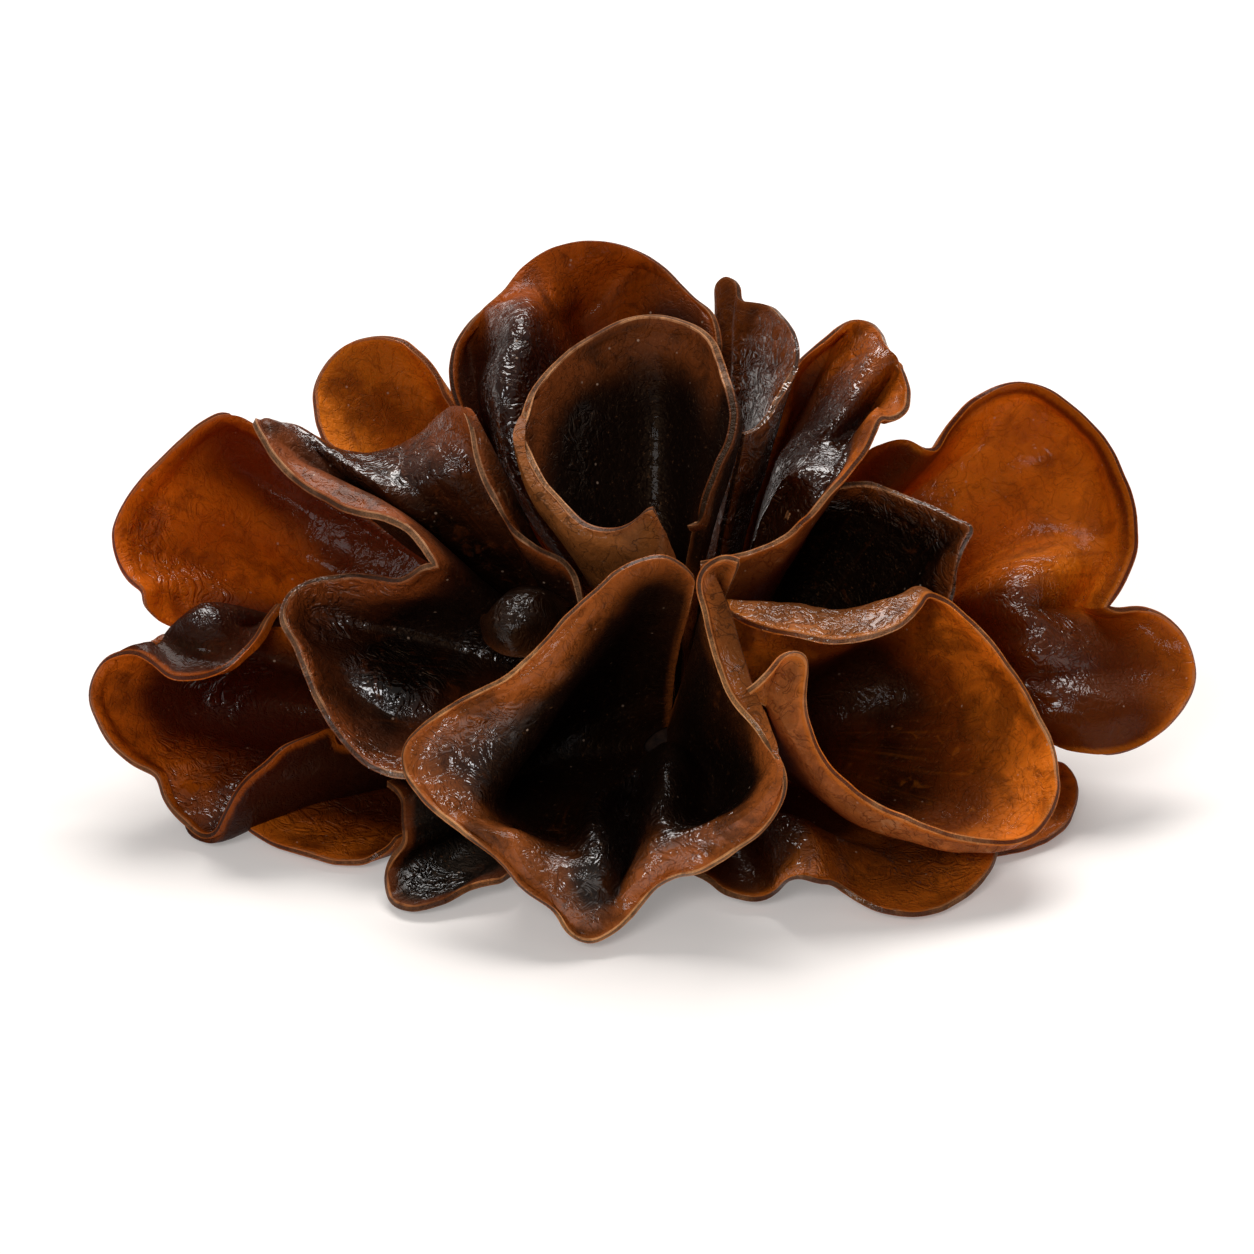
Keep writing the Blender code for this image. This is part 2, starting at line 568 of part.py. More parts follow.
# Ear under the low left one
ear(
    "ear_under_left",
    (-54, 5),
    [
        (-44.5, -25, 8), (-42.8, -25.8, 8.5), (-39.2, -27, 10), (-35.6, -28.2, 12), (-32, -28.2, 12.5),
        (-29, -27.2, 13), (-27.5, -25.3, 13),
    ],
    across_count=14,
    colour=EAR_AMBER,
)

# Small ear left of the funnel's foot
ear(
    "ear_small_front",
    (-36, 12),
    [
        (-28.8, -18.8, 12), (-27.2, -20.6, 15), (-26.9, -23.6, 17), (-26.8, -26.2, 18),
        (-28.4, -28.3, 18), (-29, -30.6, 19.5), (-28.2, -33.1, 21.5), (-25.8, -34, 23),
        (-22.4, -33.2, 23), (-18.8, -31.3, 22), (-15.2, -30.4, 21),
    ],
    soft=0.2,
    across_count=14,
)

# Ear on the floor at the right front, with one pleat
ear(
    "ear_low_right",
    (28, 5),
    [
        (7.6, -29.4, 20), (9.7, -30.4, 20), (11.6, -31.8, 21), (14, -32.6, 22), (16.6, -32.5, 22),
        (18, -31.6, 23), (19.3, -30.4, 25), (21.1, -30, 26), (22.9, -30.5, 25), (24.6, -30.7, 23),
        (26.8, -32.2, 23), (30.4, -34.1, 24), (34.2, -34.6, 24.5), (37.8, -34, 23), (41.2, -31.9, 20),
        (43.6, -29.2, 17), (44.5, -26.5, 14), (44.8, -24.4, 11),
    ],
    pins=[
        (5.6, 0.86, (17.9, -28.6, 22)), (6.6, 0.84, (19.1, -25.6, 23)),
        (7.4, 0.84, (20.9, -24.4, 23.5)), (8.4, 0.84, (22.6, -25.6, 23)),
        (9.2, 0.86, (23.9, -28.7, 20)), (4, 0.8, (15.4, -28, 15)), (11, 0.8, (28.6, -28, 14)),
    ],
    soft=0.1,
    across_count=20,
    colour=EAR_AMBER,
)

# Small lobe behind the right front cup
ear(
    "ear_under_right",
    (72, 5),
    [
        (50.2, -16.6, -3), (52.8, -17, -1), (54, -18.6, 1), (54, -20.8, 3), (52.7, -23.8, 6),
        (50.2, -25.8, 8), (46.6, -27, 10), (43, -27.5, 11),
    ],
    soft=0.1,
    across_count=12,
    along_count=4,
    colour=EAR_AMBER,
)

# Brown ear at the back left
ear(
    "ear_back_left",
    (-146, 54),
    [
        (-36.2, 22.4, -14), (-37.3, 25.8, -16), (-37.1, 29.4, -18), (-35, 32.6, -19), (-32, 34.4, -20),
        (-28.2, 34.8, -20), (-24.8, 33.2, -18), (-22.2, 30.6, -17), (-21, 28, -16),
    ],
    pulls=[
        (8, 0.5, 14, 0.3, (-3, 0, -3)),
    ],
    foot_size=0.26,
    soft=0.1,
    sag=(0, 0, -3),
    across_count=14,
)

# Small lump deep between the ruffle and the funnel
ear(
    "ear_inner_knob",
    (-43, 54),
    [
        (-17.4, -0.1, 3), (-16.7, -2, 7), (-14.8, -3.4, 10), (-12.2, -3.7, 11), (-9.7, -3, 10),
        (-7.9, -1.3, 7.5), (-7.2, 0.8, 4),
    ],
    foot_size=0.4,
    across_count=10,
    along_count=4,
)

# The unseen side: three ears, given as (across, up, near) like the others
ear(
    "ear_rear_mid",
    (180, 42),
    [
        (-15, 19, -30), (-17.5, 17.5, -37), (-15, 14, -45), (-9, 11, -51), (-3, 10, -54),
        (3, 11.5, -53), (9, 10.5, -54), (15, 12.5, -50), (19.5, 16, -43), (20, 19, -35),
    ],
    soft=0.1,
    across_count=16,
    colour=EAR_AMBER,
)
ear(
    "ear_rear_left",
    (-145, 20),
    [
        (-33, 9, -24), (-39, 8, -29), (-42, 5.5, -36), (-38, 3.5, -43), (-31, 4.5, -46),
        (-24, 5.5, -50), (-16, 6.5, -51), (-9, 8, -48),
    ],
    soft=0.1,
    across_count=16,
    colour=EAR_AMBER,
)
ear(
    "ear_rear_right",
    (140, 20),
    [
        (13, 8, -48), (20, 6, -51), (27, 4.5, -49), (34, 5.5, -47), (41, 4, -43), (46, 5.5, -37),
        (46, 8.5, -30), (41, 10, -24),
    ],
    soft=0.1,
    across_count=16,
    colour=EAR_AMBER,
)
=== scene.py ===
import math

import bpy
import numpy as np
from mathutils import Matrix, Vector


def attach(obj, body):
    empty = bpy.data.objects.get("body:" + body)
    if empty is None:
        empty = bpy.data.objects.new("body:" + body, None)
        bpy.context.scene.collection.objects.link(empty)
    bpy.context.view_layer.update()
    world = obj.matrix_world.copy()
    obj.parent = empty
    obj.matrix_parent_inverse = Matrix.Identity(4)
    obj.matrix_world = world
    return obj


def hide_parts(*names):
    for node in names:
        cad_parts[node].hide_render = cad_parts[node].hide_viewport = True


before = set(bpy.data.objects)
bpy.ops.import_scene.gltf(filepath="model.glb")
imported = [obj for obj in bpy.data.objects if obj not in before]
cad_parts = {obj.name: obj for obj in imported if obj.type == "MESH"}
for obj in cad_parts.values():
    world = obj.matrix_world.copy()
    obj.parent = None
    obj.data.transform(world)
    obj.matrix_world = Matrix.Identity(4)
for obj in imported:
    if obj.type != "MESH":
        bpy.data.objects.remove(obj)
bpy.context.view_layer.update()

# The knot: the tough root that all ears grow from, dense, dull and nearly black. It held the clump
# to the wood and is cut off flat underneath, so that the clump stands on the cut.
MM = 0.001
KNOT_RADIUS = 11.0
LUMP_SIZE = 4.0
LUMP_HEIGHT = 1.6
FLATTENED_BELOW = 0.6
GRIT_SCALE = 900.0
GRIT_DARK = (0.004, 0.0016, 0.001, 1.0)
GRIT_PALE = (0.030, 0.012, 0.006, 1.0)

bpy.ops.object.select_all(action="DESELECT")
bpy.ops.mesh.primitive_uv_sphere_add(segments=96, ring_count=64, radius=KNOT_RADIUS * MM)
knot = bpy.context.object
knot.name = "knot_root"
bpy.ops.object.mode_set(mode="EDIT")
bpy.ops.mesh.select_all(action="SELECT")
bpy.ops.mesh.bisect(plane_co=(0, 0, 0), plane_no=(0, 0, 1), clear_inner=True, use_fill=True)
bpy.ops.object.mode_set(mode="OBJECT")


def clouds_texture(name, size, depth):
    """A soft cloudy pattern for a displace modifier. The size is in mm."""
    pattern = bpy.data.textures.new(name, "CLOUDS")
    pattern.noise_scale = size * MM
    pattern.noise_depth = depth
    return pattern


def applied(kind, **settings):
    """Adds a modifier to the active piece with these settings and applies it."""
    modifier = bpy.context.object.modifiers.new(kind.lower(), kind)
    for name, value in settings.items():
        setattr(modifier, name, value)
    bpy.ops.object.modifier_apply(modifier=modifier.name)


def vertex_places(mesh):
    """The places of a mesh's vertices as rows of three numbers."""
    places = np.empty(len(mesh.vertices) * 3, np.float32)
    mesh.vertices.foreach_get("co", places)
    return places.reshape(-1, 3)


applied(
    "DISPLACE", texture=clouds_texture("knot_lumps", LUMP_SIZE, 3), texture_coords="LOCAL",
    strength=LUMP_HEIGHT * MM, mid_level=0.5,
)
places = vertex_places(knot.data)
places[places[:, 2] < FLATTENED_BELOW * MM, 2] = 0.0
knot.data.vertices.foreach_set("co", places.ravel())
knot.data.update()
bpy.ops.object.shade_smooth_by_angle(angle=math.radians(50))

root_skin = bpy.data.materials.new("tough_root")
root_skin.use_nodes = True
tree = root_skin.node_tree
bark = tree.nodes["Principled BSDF"]
place = tree.nodes.new("ShaderNodeTexCoord")
grit = tree.nodes.new("ShaderNodeTexNoise")
grit.inputs["Scale"].default_value = GRIT_SCALE
grit.inputs["Detail"].default_value = 8.0
tone = tree.nodes.new("ShaderNodeValToRGB")
tone.color_ramp.elements[0].position = 0.35
tone.color_ramp.elements[0].color = GRIT_DARK
tone.color_ramp.elements[1].position = 0.75
tone.color_ramp.elements[1].color = GRIT_PALE
dents = tree.nodes.new("ShaderNodeBump")
dents.inputs["Strength"].default_value = 0.6
dents.inputs["Distance"].default_value = 0.0004
tree.links.new(place.outputs["Object"], grit.inputs["Vector"])
tree.links.new(grit.outputs["Fac"], tone.inputs["Fac"])
tree.links.new(tone.outputs["Color"], bark.inputs["Base Color"])
tree.links.new(grit.outputs["Fac"], dents.inputs["Height"])
tree.links.new(dents.outputs["Normal"], bark.inputs["Normal"])
bark.inputs["Roughness"].default_value = 0.7
bark.inputs["Specular IOR Level"].default_value = 0.08
knot.data.materials.append(root_skin)
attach(knot, "root")
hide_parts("knot")

# The top cup: one upright ear, thin and gelatinous, rolled into a cup with a small beak where its
# rim dips at the front. Matte dark brown inside, with a paler band that shows outside under the rim.
# Places on an ear are in mm as the front view shows them, (across, up, near), and its rim's points
# are its stations, counted from 0.
VIEW_TILT = math.radians(27.0)
STAND_OFF = 0.9
KNOT_IN_VIEW = (4.6, -15.0, -14.9)

# The sheet of an ear, in mm: its thickness, its gap to the floor, and how far apart its columns are
SHEET_THICK = 1 / 0.65
FLOOR_GAP = 0.35
COLUMN_STEP = 1.12
ROWS = 35
LIP_ROUND = 0.18
THINNER_AT_RIM = 0.42
THINNER_AT_LIP = 0.08
LIP_STEEPNESS = 12
DIP_SIZE, DIP_HEIGHT = 7.5, 0.7
WRINKLE_SIZE, WRINKLE_HEIGHT = 2.4, 0.35
WRINKLED_DRY, WRINKLED_WET = 0.25, 0.75

# Small ripples towards the rim: how long in mm, how high, and how far each ear's are shifted
RIPPLES = ((1.9, 1.0, 1.0), (1.13, 0.8, 2.1), (0.62, 0.5, 3.7))

# The dark root end of every ear, partly its own darker skin and partly painted shade deep in the
# clump, in shares of the way from its foot to its rim
ROOT_DARK = 0.95
ROOT_DARK_TOP = 0.40
ROOT_DARK_FADE = 0.24

# How far a pinned place pulls the sheet with it, and how softly the ruffles fade towards the foot
PIN_REACH_ALONG = 9.0
PIN_REACH_UP = 0.2
PIN_SLACK = 0.004
HALFWAY_SOFT = 0.035
FREE_BAND = 0.1


def turned(across, up, near):
    """A direction of the front view, turned into the world."""
    return np.stack(
        [
            across,
            up * math.sin(VIEW_TILT) - near * math.cos(VIEW_TILT),
            up * math.cos(VIEW_TILT) + near * math.sin(VIEW_TILT),
        ],
        axis=-1,
    )


def seen(points):
    """World places, in mm, of points given as the front view shows them."""
    across, up, near = np.asarray(points, float).T
    shrink = (STAND_OFF * 1000 - near) / (STAND_OFF * 1000)
    return turned(across * shrink, up * shrink, near) - turned(*KNOT_IN_VIEW)


def smooth_rim(stations, count):
    """A smooth rim line through its stations, the share of its length at each, and its length."""
    padded = np.vstack([2 * stations[0] - stations[1], stations, 2 * stations[-1] - stations[-2]])
    line = []
    parts = 16
    for i in range(1, len(padded) - 2):
        p0, p1, p2, p3 = padded[i - 1 : i + 3]
        for t in np.arange(parts) / parts:
            line.append(
                p1
                + 0.5 * t * (p2 - p0)
                + t * t * (p0 - 2.5 * p1 + 2 * p2 - 0.5 * p3)
                + t * t * t * (1.5 * p1 - 0.5 * p0 - 1.5 * p2 + 0.5 * p3)
            )
    line.append(padded[-2])
    line = np.array(line)
    steps = np.linalg.norm(np.diff(line, axis=0), axis=1)
    share = np.concatenate([[0.0], np.cumsum(steps)]) / steps.sum()
    wanted = np.linspace(0.0, 1.0, count)
    even = np.stack([np.interp(wanted, share, line[:, axis]) for axis in range(3)], axis=1)
    return even, share[::parts], steps.sum()


def share_at(station, station_share):
    """The share of the rim's length at a station, which may lie between two stations."""
    return np.interp(station, np.arange(len(station_share)), station_share)


def softened(line, width):
    """The line with its ruffles smoothed away over this share of its length. Its ends stay."""
    count = len(line)
    reach = min(int(3 * width * count), count - 1)
    if reach < 1:
        return line
    head = 2 * line[0] - line[reach:0:-1]
    tail = 2 * line[-1] - line[-2 : -reach - 2 : -1]
    long = np.vstack([head, line, tail])
    weights = np.exp(-0.5 * (np.arange(-reach, reach + 1) / (width * count)) ** 2)
    weights /= weights.sum()
    return np.stack([np.convolve(long[:, axis], weights, "valid") for axis in range(3)], axis=1)


def held_at(points, station_share, length, pins):
    """Shifts the surface smoothly so that it passes through each pin."""
    rows, fine = points.shape[0] - 1, points.shape[1] - 1
    at = np.array([[share_at(station, station_share), v] for station, v, _ in pins])
    now = points[np.round(at[:, 1] * rows).astype(int), np.round(at[:, 0] * fine).astype(int)]
    miss = seen([place for _, _, place in pins]) - now

    def pull(share, v):
        apart = np.hypot(
            (share[:, None] - at[None, :, 0]) * length / PIN_REACH_ALONG,
            (v[:, None] - at[None, :, 1]) / PIN_REACH_UP,
        )
        return (1 + 1.73 * apart) * np.exp(-1.73 * apart) * np.minimum(1.0, 5 * v)[:, None]

    weights = np.linalg.solve(pull(at[:, 0], at[:, 1]) + PIN_SLACK * np.eye(len(pins)), miss)
    share = np.linspace(0.0, 1.0, fine + 1)
    for row, v in enumerate(np.linspace(0.0, 1.0, rows + 1)):
        near_rim = np.clip((v - 1 + FREE_BAND) / FREE_BAND, 0.0, 1.0)
        near_rim = 1 - near_rim * near_rim * (3 - 2 * near_rim)
        points[row] += pull(share, np.full(fine + 1, v)) @ weights * near_rim
    return points


def ear_surface(rim, foot, foot_size, bulge, sag, bends, pins, soft, columns):
    """The middle surface of an ear in mm, as rows of points from its foot to its rim."""
    fine = columns * 4 + 1
    line, station_share, length = smooth_rim(seen(rim), fine)
    turn, rise = math.radians(foot[0]), math.radians(foot[1])
    outward = np.array(
        [math.sin(turn) * math.cos(rise), -math.cos(turn) * math.cos(rise), math.sin(rise)]
    )
    foot_middle = outward * (KNOT_RADIUS + 0.3)
    base = softened(line, soft)
    middle = base.mean(axis=0)
    foot_line = foot_middle + foot_size * (base - middle)
    foot_line *= (KNOT_RADIUS + 0.3) / np.linalg.norm(foot_line, axis=1)[:, None]
    share = np.linspace(0.0, 1.0, fine)
    fade = math.log2(soft / HALFWAY_SOFT)
    made = []
    for v in np.linspace(0.0, 1.0, ROWS + 1):
        ruffled = softened(line, soft * (1 - v) ** fade)
        spine = foot_middle * (1 - v) + middle * v
        hump = 4 * v * (1 - v)
        row = spine + (foot_line * (1 - v) + ruffled * v - spine) * (1 + bulge * hump)
        row = row + turned(*sag) * (hump * (1 - (2 * share - 1) ** 4))[:, None]
        for station, at, reach, reach_up, push in bends:
            off = (share - share_at(station, station_share)) * length / reach
            strength = np.exp(-0.5 * (off**2 + ((v - at) / reach_up) ** 2)) * min(1.0, 4 * v)
            row = row + turned(*push) * strength[:, None]
        made.append(row)
    made = np.array(made)
    if pins:
        made = held_at(made, station_share, length, pins)
    return made[:, ::4], station_share, length


def outward_normals(points):
    """The surface's normals, turned away from the line between its foot and its rim's middle."""
    made = np.cross(np.gradient(points, axis=1), np.gradient(points, axis=0))
    made = made / np.maximum(np.linalg.norm(made, axis=2), 1e-9)[:, :, None]
    v = np.linspace(0.0, 1.0, len(points))[:, None, None]
    spine = points[0].mean(axis=0) * (1 - v) + points[-1].mean(axis=0) * v
    return -made if (made * (spine - points)).sum() < 0 else made


def rippled(points, facing, along, v, seed, flutter):
    """The surface with small ripples that grow towards its rim."""
    wave = sum(high * np.sin(along / long + shift * seed) for long, high, shift in RIPPLES)
    return points + facing * (wave * flutter * v**3)[:, :, None]


def patch_cover(zones, start, along, v, station_share):
    """How much the patches cover each point, from 0 to 1."""
    clear = np.broadcast_to(1.0 - start, (len(v), along.shape[1]))
    for station, at, reach_along, reach_up in zones:
        middle = share_at(station, station_share) * along[0, -1]
        apart = ((along - middle) / reach_along) ** 2 + ((v - at) / reach_up) ** 2
        clear = clear * (1.0 - np.exp(-0.7 * apart))
    return 1.0 - clear


def laid_sheet(name, points, facing, layers):
    """A grid laid over the surface, facing as it does, with the layers' values on its points."""
    rows, columns = points.shape[0] - 1, points.shape[1] - 1
    bpy.ops.object.select_all(action="DESELECT")
    bpy.ops.mesh.primitive_grid_add(x_subdivisions=columns, y_subdivisions=rows, size=2.0)
    ear = bpy.context.object
    ear.name = name
    mesh = ear.data
    places = vertex_places(mesh)
    column = np.round((places[:, 0] + 1) / 2 * columns).astype(int)
    row = np.round((places[:, 1] + 1) / 2 * rows).astype(int)
    order = row * (columns + 1) + column
    flat = points.reshape(-1, 3)
    mesh.vertices.foreach_set("co", (flat[order] * MM).astype(np.float32).ravel())
    for title, values in layers.items():
        layer = mesh.attributes.new(title, "FLOAT", "POINT")
        layer.data.foreach_set("value", values.ravel()[order].astype(np.float32))
    mesh.update()
    normal = np.empty(len(mesh.vertices) * 3, np.float32)
    mesh.vertices.foreach_get("normal", normal)
    if (normal.reshape(-1, 3) * facing.reshape(-1, 3)[order]).sum() < 0:
        bpy.ops.object.mode_set(mode="EDIT")
        bpy.ops.mesh.select_all(action="SELECT")
        bpy.ops.mesh.flip_normals()
        bpy.ops.object.mode_set(mode="OBJECT")
    return ear, order


def thickened(ear, thick, facing):
    """Gives the sheet its thickness, thinner at the rim, and marks its outside as side 1."""
    mesh = ear.data
    applied(
        "SOLIDIFY", thickness=thick * SHEET_THICK * MM, offset=0.0, use_even_offset=False,
        vertex_group="fuller", thickness_vertex_group=0.0,
    )
    half = len(facing)
    places = vertex_places(mesh)
    toward = ((places[:half] - places[half : 2 * half]) * facing).sum()
    side = np.zeros(len(places), np.float32)
    if toward > 0:
        side[half:] = 1.0
    else:
        side[:half] = 1.0
    layer = mesh.attributes.new("side", "FLOAT", "POINT")
    layer.data.foreach_set("value", side)


def grow_ear(
    name, node, foot, rim, skin,
    foot_size=0.12, bulge=0.10, sag=(0, 0, 0), bends=(), pins=(), soft=0.10, flutter=0.07, thick=1.0,
    wet=(), wet_all=0.0, dark=(),
):
    """One ear: a grid laid over its surface, thickened, rounded at the rim and wrinkled.

    pins, (station, v, place), hold the sheet at places. bends, (station, v, reach along in mm,
    reach in v, push in mm), lean it. wet and dark are patches, (station, v, reach along in mm,
    reach in v): wet marks the wet film, dark the painted shade in hollows and folds. v is the share
    of the way from the foot to the rim.
    """
    _, _, length = smooth_rim(seen(rim), 99)
    columns = int(min(170, max(48, length / COLUMN_STEP)))
    points, station_share, length = ear_surface(
        rim, foot, foot_size, bulge, sag, bends, pins, soft, columns
    )
    v = np.linspace(0.0, 1.0, ROWS + 1)[:, None]
    along = np.linspace(0.0, length, columns + 1)[None, :]
    facing = outward_normals(points)
    points = rippled(points, facing, along, v, sum(map(ord, name)) % 17, flutter)
    floor_gap = thick / 2 + FLOOR_GAP
    points[:, :, 2] = floor_gap + np.logaddexp(0.0, (points[:, :, 2] - floor_gap) * 3) / 3
    free = np.vstack([points[-1], points[:, 0], points[:, -1]])
    edge = np.array([np.linalg.norm(free - point, axis=1).min() for point in points.reshape(-1, 3)])
    film = patch_cover(wet, wet_all, along, v, station_share)
    # Painted shade, kept in the shade attribute: the dark root end and the dark patches
    root_dark = ROOT_DARK * np.clip((ROOT_DARK_TOP - v) / ROOT_DARK_FADE, 0.0, 1.0)
    shade = 1.0 - (1.0 - patch_cover(dark, 0.0, along, v, station_share)) * (1.0 - root_dark)
    layers = {
        "edge": edge, "along": np.broadcast_to(along, film.shape), "film": film, "shade": shade,
    }
    ear, order = laid_sheet(name, points, facing, layers)

    applied(
        "DISPLACE", texture=clouds_texture(name + "_dips", DIP_SIZE, 2), texture_coords="LOCAL",
        strength=DIP_HEIGHT * MM, mid_level=0.5,
    )
    fuller = ear.vertex_groups.new(name="fuller")
    wrinkled = ear.vertex_groups.new(name="wrinkled")
    height = np.round(np.broadcast_to(v, film.shape).ravel()[order], 3)
    for index, reach in enumerate(height):
        thinned = THINNER_AT_RIM * reach + THINNER_AT_LIP * max(0.0, 1 - (1 - reach) * LIP_STEEPNESS)
        fuller.add([index], float(1.0 - thinned), "REPLACE")
        wrinkles = WRINKLED_DRY + WRINKLED_WET * film.ravel()[order[index]]
        wrinkled.add([index], float(wrinkles), "REPLACE")
    thickened(ear, thick, facing.reshape(-1, 3)[order])
    applied("BEVEL", width=LIP_ROUND * MM, segments=2, limit_method="ANGLE", angle_limit=math.radians(55))
    applied("SUBSURF", levels=1, render_levels=1)
    applied(
        "DISPLACE", texture=clouds_texture(name + "_wrinkles", WRINKLE_SIZE, 2),
        texture_coords="LOCAL", strength=WRINKLE_HEIGHT * MM, mid_level=0.5, vertex_group="wrinkled",
    )
    bpy.ops.object.shade_smooth()
    ear.data.materials.append(skin)
    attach(ear, "root")
    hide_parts(node)


class SkinNodes:
    """Short names for the nodes that an ear's skin is built from."""

    def __init__(self, tree):
        self.tree = tree

    def fed(self, socket, value):
        """Gives a socket a number, a colour or another node's output."""
        if isinstance(value, tuple):
            socket.default_value = (*value[:3], 1.0)
        elif isinstance(value, (int, float)):
            socket.default_value = value
        else:
            self.tree.links.new(value, socket)

    def attribute(self, title):
        made = self.tree.nodes.new("ShaderNodeAttribute")
        made.attribute_name = title
        return made.outputs["Fac"]

    def math_of(self, kind, first, second=0.0, third=0.0):
        made = self.tree.nodes.new("ShaderNodeMath")
        made.operation = kind
        for socket, value in zip(made.inputs, (first, second, third)):
            self.fed(socket, value)
        return made.outputs[0]

    def times(self, first, second):
        return self.math_of("MULTIPLY", first, second)

    def plus(self, first, second):
        return self.math_of("ADD", first, second)

    def off_middle(self, value, strength):
        """A noise taken round zero and made this strong."""
        return self.times(self.math_of("SUBTRACT", value, 0.5), strength)

    def ranged(self, value, low, high, to_low=0.0, to_high=1.0):
        made = self.tree.nodes.new("ShaderNodeMapRange")
        made.interpolation_type = "SMOOTHSTEP"
        limits = {"From Min": low, "From Max": high, "To Min": to_low, "To Max": to_high}
        for title, number in limits.items():
            made.inputs[title].default_value = number
        self.tree.links.new(value, made.inputs["Value"])
        return made.outputs[0]

    def mixed(self, factor, first, second):
        made = self.tree.nodes.new("ShaderNodeMix")
        made.data_type = "RGBA"
        for index, value in ((0, factor), (6, first), (7, second)):
            self.fed(made.inputs[index], value)
        return made.outputs[2]

    def noise(self, vector, scale, detail, rough=0.5, warp=0.0):
        made = self.tree.nodes.new("ShaderNodeTexNoise")
        made.inputs["Scale"].default_value = scale
        made.inputs["Detail"].default_value = detail
        made.inputs["Roughness"].default_value = rough
        made.inputs["Distortion"].default_value = warp
        self.tree.links.new(vector, made.inputs["Vector"])
        return made.outputs["Fac"]

    def joined(self, first, second, third=0.0):
        made = self.tree.nodes.new("ShaderNodeCombineXYZ")
        for socket, value in zip(made.inputs, (first, second, third)):
            self.fed(socket, value)
        return made.outputs[0]

    def dents(self, height, strength, distance):
        made = self.tree.nodes.new("ShaderNodeBump")
        made.inputs["Strength"].default_value = strength
        made.inputs["Distance"].default_value = distance
        self.tree.links.new(height, made.inputs["Height"])
        return made.outputs["Normal"]


def toned(colour, factor, lift=0.0):
    """A colour made darker or lighter."""
    return tuple(factor * c + lift for c in colour)


